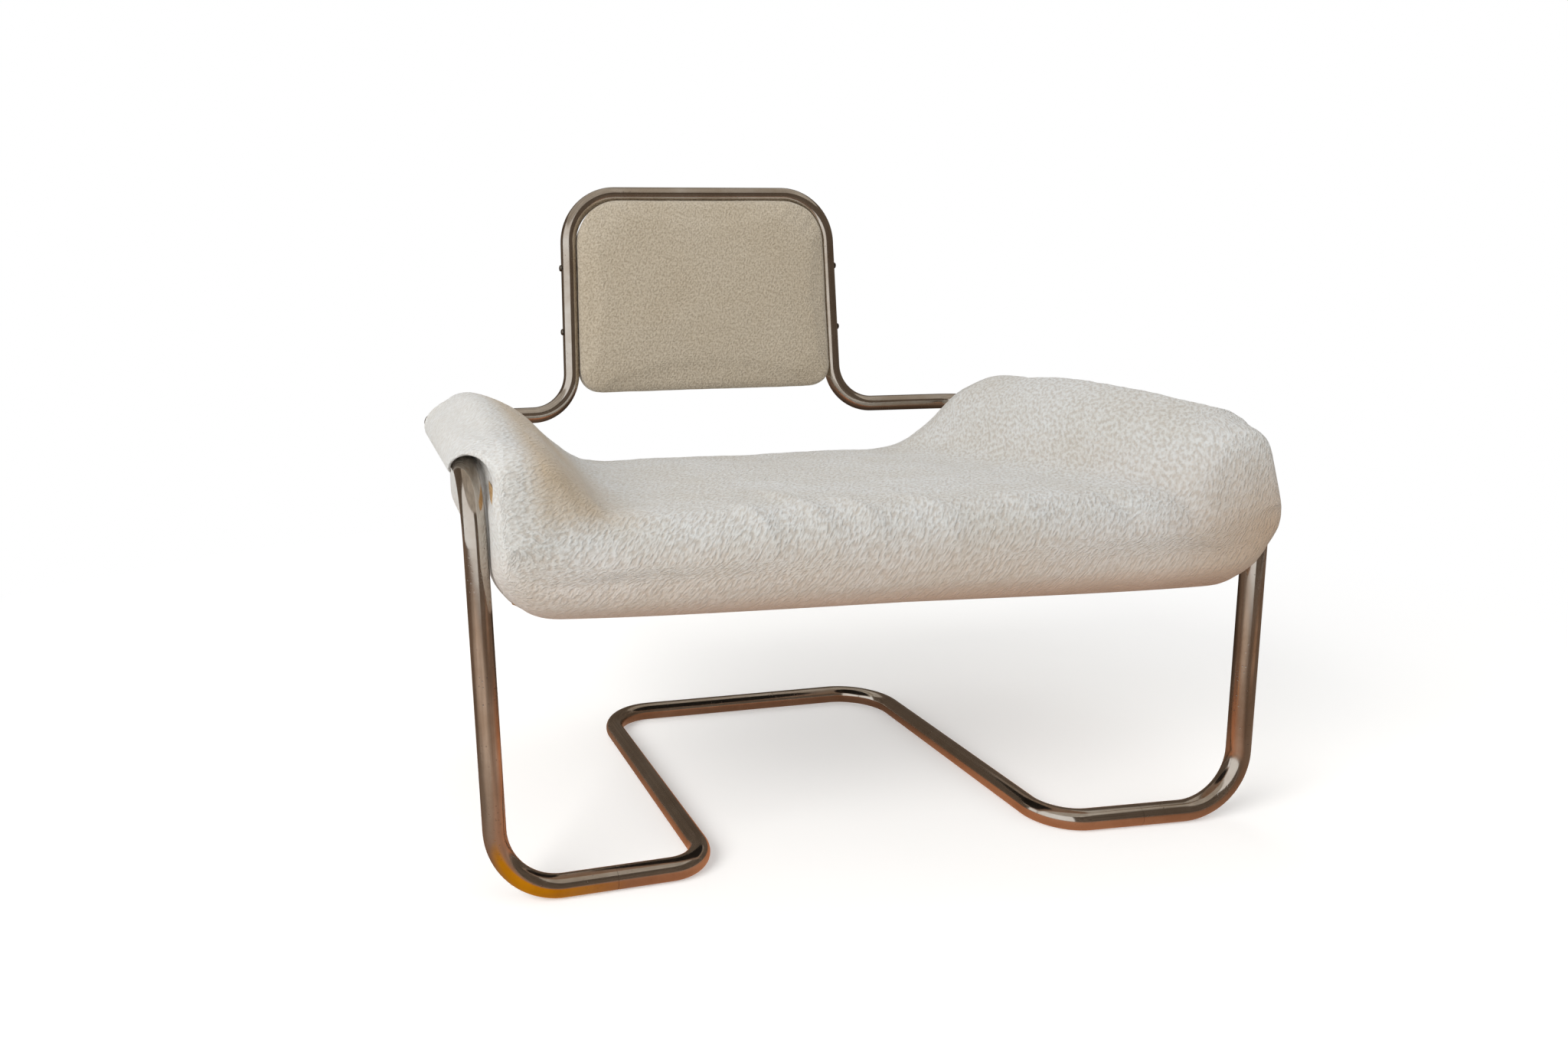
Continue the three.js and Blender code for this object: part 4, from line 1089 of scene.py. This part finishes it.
def makeScrew(name, node, kind, centre, direction):
    size, cut = screwSizes[kind], screwCut
    head, shank, socket = size["head"] / 2, size["shank"] / 2, size["socket"] / 2
    height, reach, chamfer = size["height"], size["reach"], cut["chamfer"]
    profile = [(0, -reach), (shank - chamfer, -reach), (shank, chamfer - reach), (shank, 0), (head, 0)]
    for k in range(1, cut["domeSteps"]):
        angle = math.pi / 2 * k / cut["domeSteps"]
        across = head * math.cos(angle) ** cut["domeRound"]
        if across > socket + cut["flat"]:
            profile.append((across, height * mix(cut["rim"], 1, math.sin(angle))))
    profile += [(socket + cut["lip"], height), (socket, height - cut["lipDrop"])]
    profile += [(socket, height * cut["wallShare"]), (0, height * cut["floorShare"])]
    bm = bmesh.new()
    verts = [bmesh.ops.create_vert(bm, co=Vector((r, 0, h)) * mm)["vert"][0] for r, h in profile]
    edges = [bm.edges.new(pair) for pair in zip(verts, verts[1:])]
    spinRound(bm, verts + edges, math.tau, cut["turnSteps"], True)
    bmesh.ops.remove_doubles(bm, verts=bm.verts, dist=cut["weld"] * mm)
    bmesh.ops.recalc_face_normals(bm, faces=bm.faces)
    base = centre + direction * ((frameTube["radius"] + cut["seatGap"]) * mm)
    turned = direction.to_track_quat("Z", "Y").to_matrix().to_4x4()
    bmesh.ops.transform(bm, matrix=Matrix.Translation(base) @ turned, verts=bm.verts)
    piece = finishPiece(bm, name, zinc, cut["crease"])
    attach(piece, "root")
    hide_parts(node)


def makeScrews():
    places = screwPlaces
    for side, word in ((-1, "left"), (1, "right")):
        tilt = places["seatTilt"]
        under = Vector((-side * math.cos(tilt), 0, -math.sin(tilt)))
        for i, back in enumerate(places["seatBacks"], 1):
            makeScrew(f"{word}SeatScrew{i}", f"{word}_seat_screw_{i}", "seat", railPoint(side, back), under)
        foot, top = corner("hoopFoot", side), corner("hoopTop", side)
        for i, height in enumerate(places["backHeights"], 1):
            centre = foot.lerp(top, (height * mm - foot.z) / (top.z - foot.z))
            makeScrew(f"{word}BackScrew{i}", f"{word}_back_screw_{i}", "back", centre, Vector((side, 0, 0)))
        armRun = corner("railFront", side) - corner("railRear", side)
        footRun = corner("baseTurn", side) - corner("foot", side)
        joints = (
            ("arm", railPoint(side, frameTube["armJoint"]), armRun, (0, 0, -1)),
            ("foot", footPoint(side), footRun, (0, 1, 0)),
        )
        for joint, middle, run, out in joints:
            for i, end in enumerate((-1, 1), 1):
                centre = middle + run.normalized() * (end * places["grubReach"] * mm)
                name = f"{word}{joint.capitalize()}Grub{i}"
                makeScrew(name, f"{word}_{joint}_sleeve_screw_{i}", "sleeve", centre, Vector(out))


makeScrews()

for name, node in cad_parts.items():  # what stays as the CAD drew it gets its finish
    if node.hide_render:
        continue
    node.data.materials.clear()
    node.data.materials.append(plywood if name in ("seat_shell", "back_board") else zinc)
print("screws made, inner pieces finished")


# Floor, light and world; a lamp is its place, its target, its size, its watts and its colour
studio = {
    "floor": rgba(236, 235, 233), "floorGrain": rgba(226, 225, 222), "floorHalf": 30,
    "grainNoise": (3, 4, 0.6), "grainMost": 0.15, "floorRough": 0.6, "floorGlow": 0.32,
    "ambient": 0.55, "fadeStart": 0.7, "fadeEnd": 1.9,
    "key": ((-2.7, -1.9, 2.1), (0, 0, 0.35), 2.0, 70, (1.0, 0.99, 0.98)),
    "fill": ((2.4, -2.2, 1.3), (0, 0, 0.4), 1.8, 5, (1.0, 0.95, 0.9)),
    "top": ((0.3, 1.0, 3.0), (0, 0, 0.3), 2.2, 16, (1.0, 1.0, 1.0)),
}
white = (1, 1, 1, 1)

# The room that only the metal shows, in metres and radians
room = {
    "radius": 3.4, "height": 3.3, "from": math.radians(264), "to": math.radians(524), "sides": 64,
    "wallFoot": 0.01, "boardsHeight": 0.6 * mm, "unevenNoise": (1.7, 3, 0.6), "uneven": (0.6, 1.3),
    "wall": rgba(104, 92, 81), "ceiling": rgba(188, 180, 170), "boards": rgba(122, 101, 86),
}
noiseRange = (0.3, 0.7)  # what most of a noise lies between
boardPatches = [  # centre, inner and outer reach in metres, colour
    ((-1.15, -1.25), (0.6, 1.25), rgba(214, 190, 172)), ((0.0, -0.35), (0.2, 0.66), rgba(184, 124, 90)),
    ((0.0, -0.75), (0.1, 0.5), rgba(190, 158, 138)), ((-0.42, -0.39), (0.05, 0.13), rgba(226, 150, 24)),
    ((0.6, 0.9), (0.5, 1.1), rgba(72, 58, 48)), ((1.2, -1.4), (0.2, 0.6), rgba(176, 140, 116)),
]


def lightPath(tree):
    rays = addNode(tree, "ShaderNodeLightPath").outputs
    seen = mathNode(tree, "MAXIMUM", rays["Is Camera Ray"], rays["Is Glossy Ray"])
    return mathNode(tree, "MAXIMUM", seen, rays["Is Transmission Ray"])


def makeFloor():
    bm = bmesh.new()
    bmesh.ops.create_grid(bm, x_segments=2, y_segments=2, size=studio["floorHalf"])
    made, tree, place = openMaterial("paleFloor")
    grain = noiseNode(tree, place, *studio["grainNoise"])
    grain = rangeNode(tree, grain, *noiseRange, 0, studio["grainMost"])
    colour = mixColour(tree, grain, studio["floor"], studio["floorGrain"])
    diffuse = addNode(tree, "ShaderNodeBsdfDiffuse", {"Color": colour, "Roughness": studio["floorRough"]})
    strength = times(tree, lightPath(tree), studio["floorGlow"])
    glow = addNode(tree, "ShaderNodeEmission", {"Color": white, "Strength": strength})
    both = addNode(tree, "ShaderNodeAddShader", {0: diffuse.outputs[0], 1: glow.outputs[0]})
    far = vectorMath(tree, "LENGTH", {0: place})["Value"]
    fade = times(tree, rangeNode(tree, far, studio["fadeStart"], studio["fadeEnd"], 0, 1), lightPath(tree))
    plain = addNode(tree, "ShaderNodeEmission", {"Color": white, "Strength": 1})
    seen = addNode(tree, "ShaderNodeMixShader", {0: fade, 1: both.outputs[0], 2: plain.outputs[0]})
    addNode(tree, "ShaderNodeOutputMaterial", {"Surface": seen.outputs[0]})
    newPiece(bm, "studioFloor", made)


def cardMaterial(name, colour, patches=()):
    made, tree, place = openMaterial(name)
    shade = colour if patches else colour[:3]
    for (x, y), (inner, outer), tone in patches:
        away = vectorMath(tree, "DISTANCE", {0: place, 1: (x, y, 0)})["Value"]
        shade = mixColour(tree, rangeNode(tree, away, inner, outer, 1, 0), shade, tone)
    uneven = rangeNode(tree, noiseNode(tree, place, *room["unevenNoise"]), *noiseRange, *room["uneven"])
    shade = vectorMath(tree, "SCALE", {0: shade, "Scale": uneven})[0]
    glow = addNode(tree, "ShaderNodeEmission", {"Color": shade, "Strength": 1})
    addNode(tree, "ShaderNodeOutputMaterial", {"Surface": glow.outputs[0]})
    return made


def stageCard(bm, name, material):  # a card that only the metal shows
    card = newPiece(bm, name, material)
    card.visible_camera = card.visible_diffuse = card.visible_shadow = card.visible_transmission = False


def makeRoom():  # the brown wall, open toward the window at the left, with its ceiling and boards
    radius, start, end = room["radius"], room["from"], room["to"]
    bm = bmesh.new()
    foot = Vector((radius * math.cos(start), radius * math.sin(start), room["wallFoot"]))
    ends = [bmesh.ops.create_vert(bm, co=foot + Vector((0, 0, up)))["vert"][0] for up in (0, room["height"])]
    edge = bm.edges.new(ends)
    spinRound(bm, ends + [edge], end - start, room["sides"], False)
    stageCard(bm, "wallCard", cardMaterial("roomWall", room["wall"]))
    for name, height, material in (
        ("ceilingCard", room["height"], cardMaterial("roomCeiling", room["ceiling"])),
        ("boardsCard", room["boardsHeight"], cardMaterial("roomBoards", room["boards"], boardPatches)),
    ):
        bm = bmesh.new()
        lift = Matrix.Translation((0, 0, height))
        bmesh.ops.create_circle(bm, cap_ends=True, segments=room["sides"], radius=radius, matrix=lift)
        stageCard(bm, name, material)


def makeLamp(name):
    place, target, size, watts, colour = studio[name]
    data = bpy.data.lights.new(name + "Lamp", "AREA")
    data.shape, data.size, data.energy, data.color = "DISK", size, watts, colour
    lamp = addObject(name + "Lamp", data)
    lamp.location = place
    lamp.rotation_euler = (Vector(target) - Vector(place)).to_track_quat("-Z", "Y").to_euler()
    lamp.visible_camera = lamp.visible_glossy = False


def makeWorld():
    world = bpy.data.worlds.new("studioWorld")
    world.use_nodes = True
    tree = world.node_tree
    tree.nodes.clear()
    strength = plus(tree, times(tree, lightPath(tree), 1 - studio["ambient"]), studio["ambient"])
    background = addNode(tree, "ShaderNodeBackground", {"Color": white, "Strength": strength})
    addNode(tree, "ShaderNodeOutputWorld", {"Surface": background.outputs[0]})
    bpy.context.scene.world = world


makeFloor()
makeRoom()
for lampName in ("key", "fill", "top"):
    makeLamp(lampName)
makeWorld()
bpy.context.scene.view_settings.view_transform = "Standard"
print("studio set")
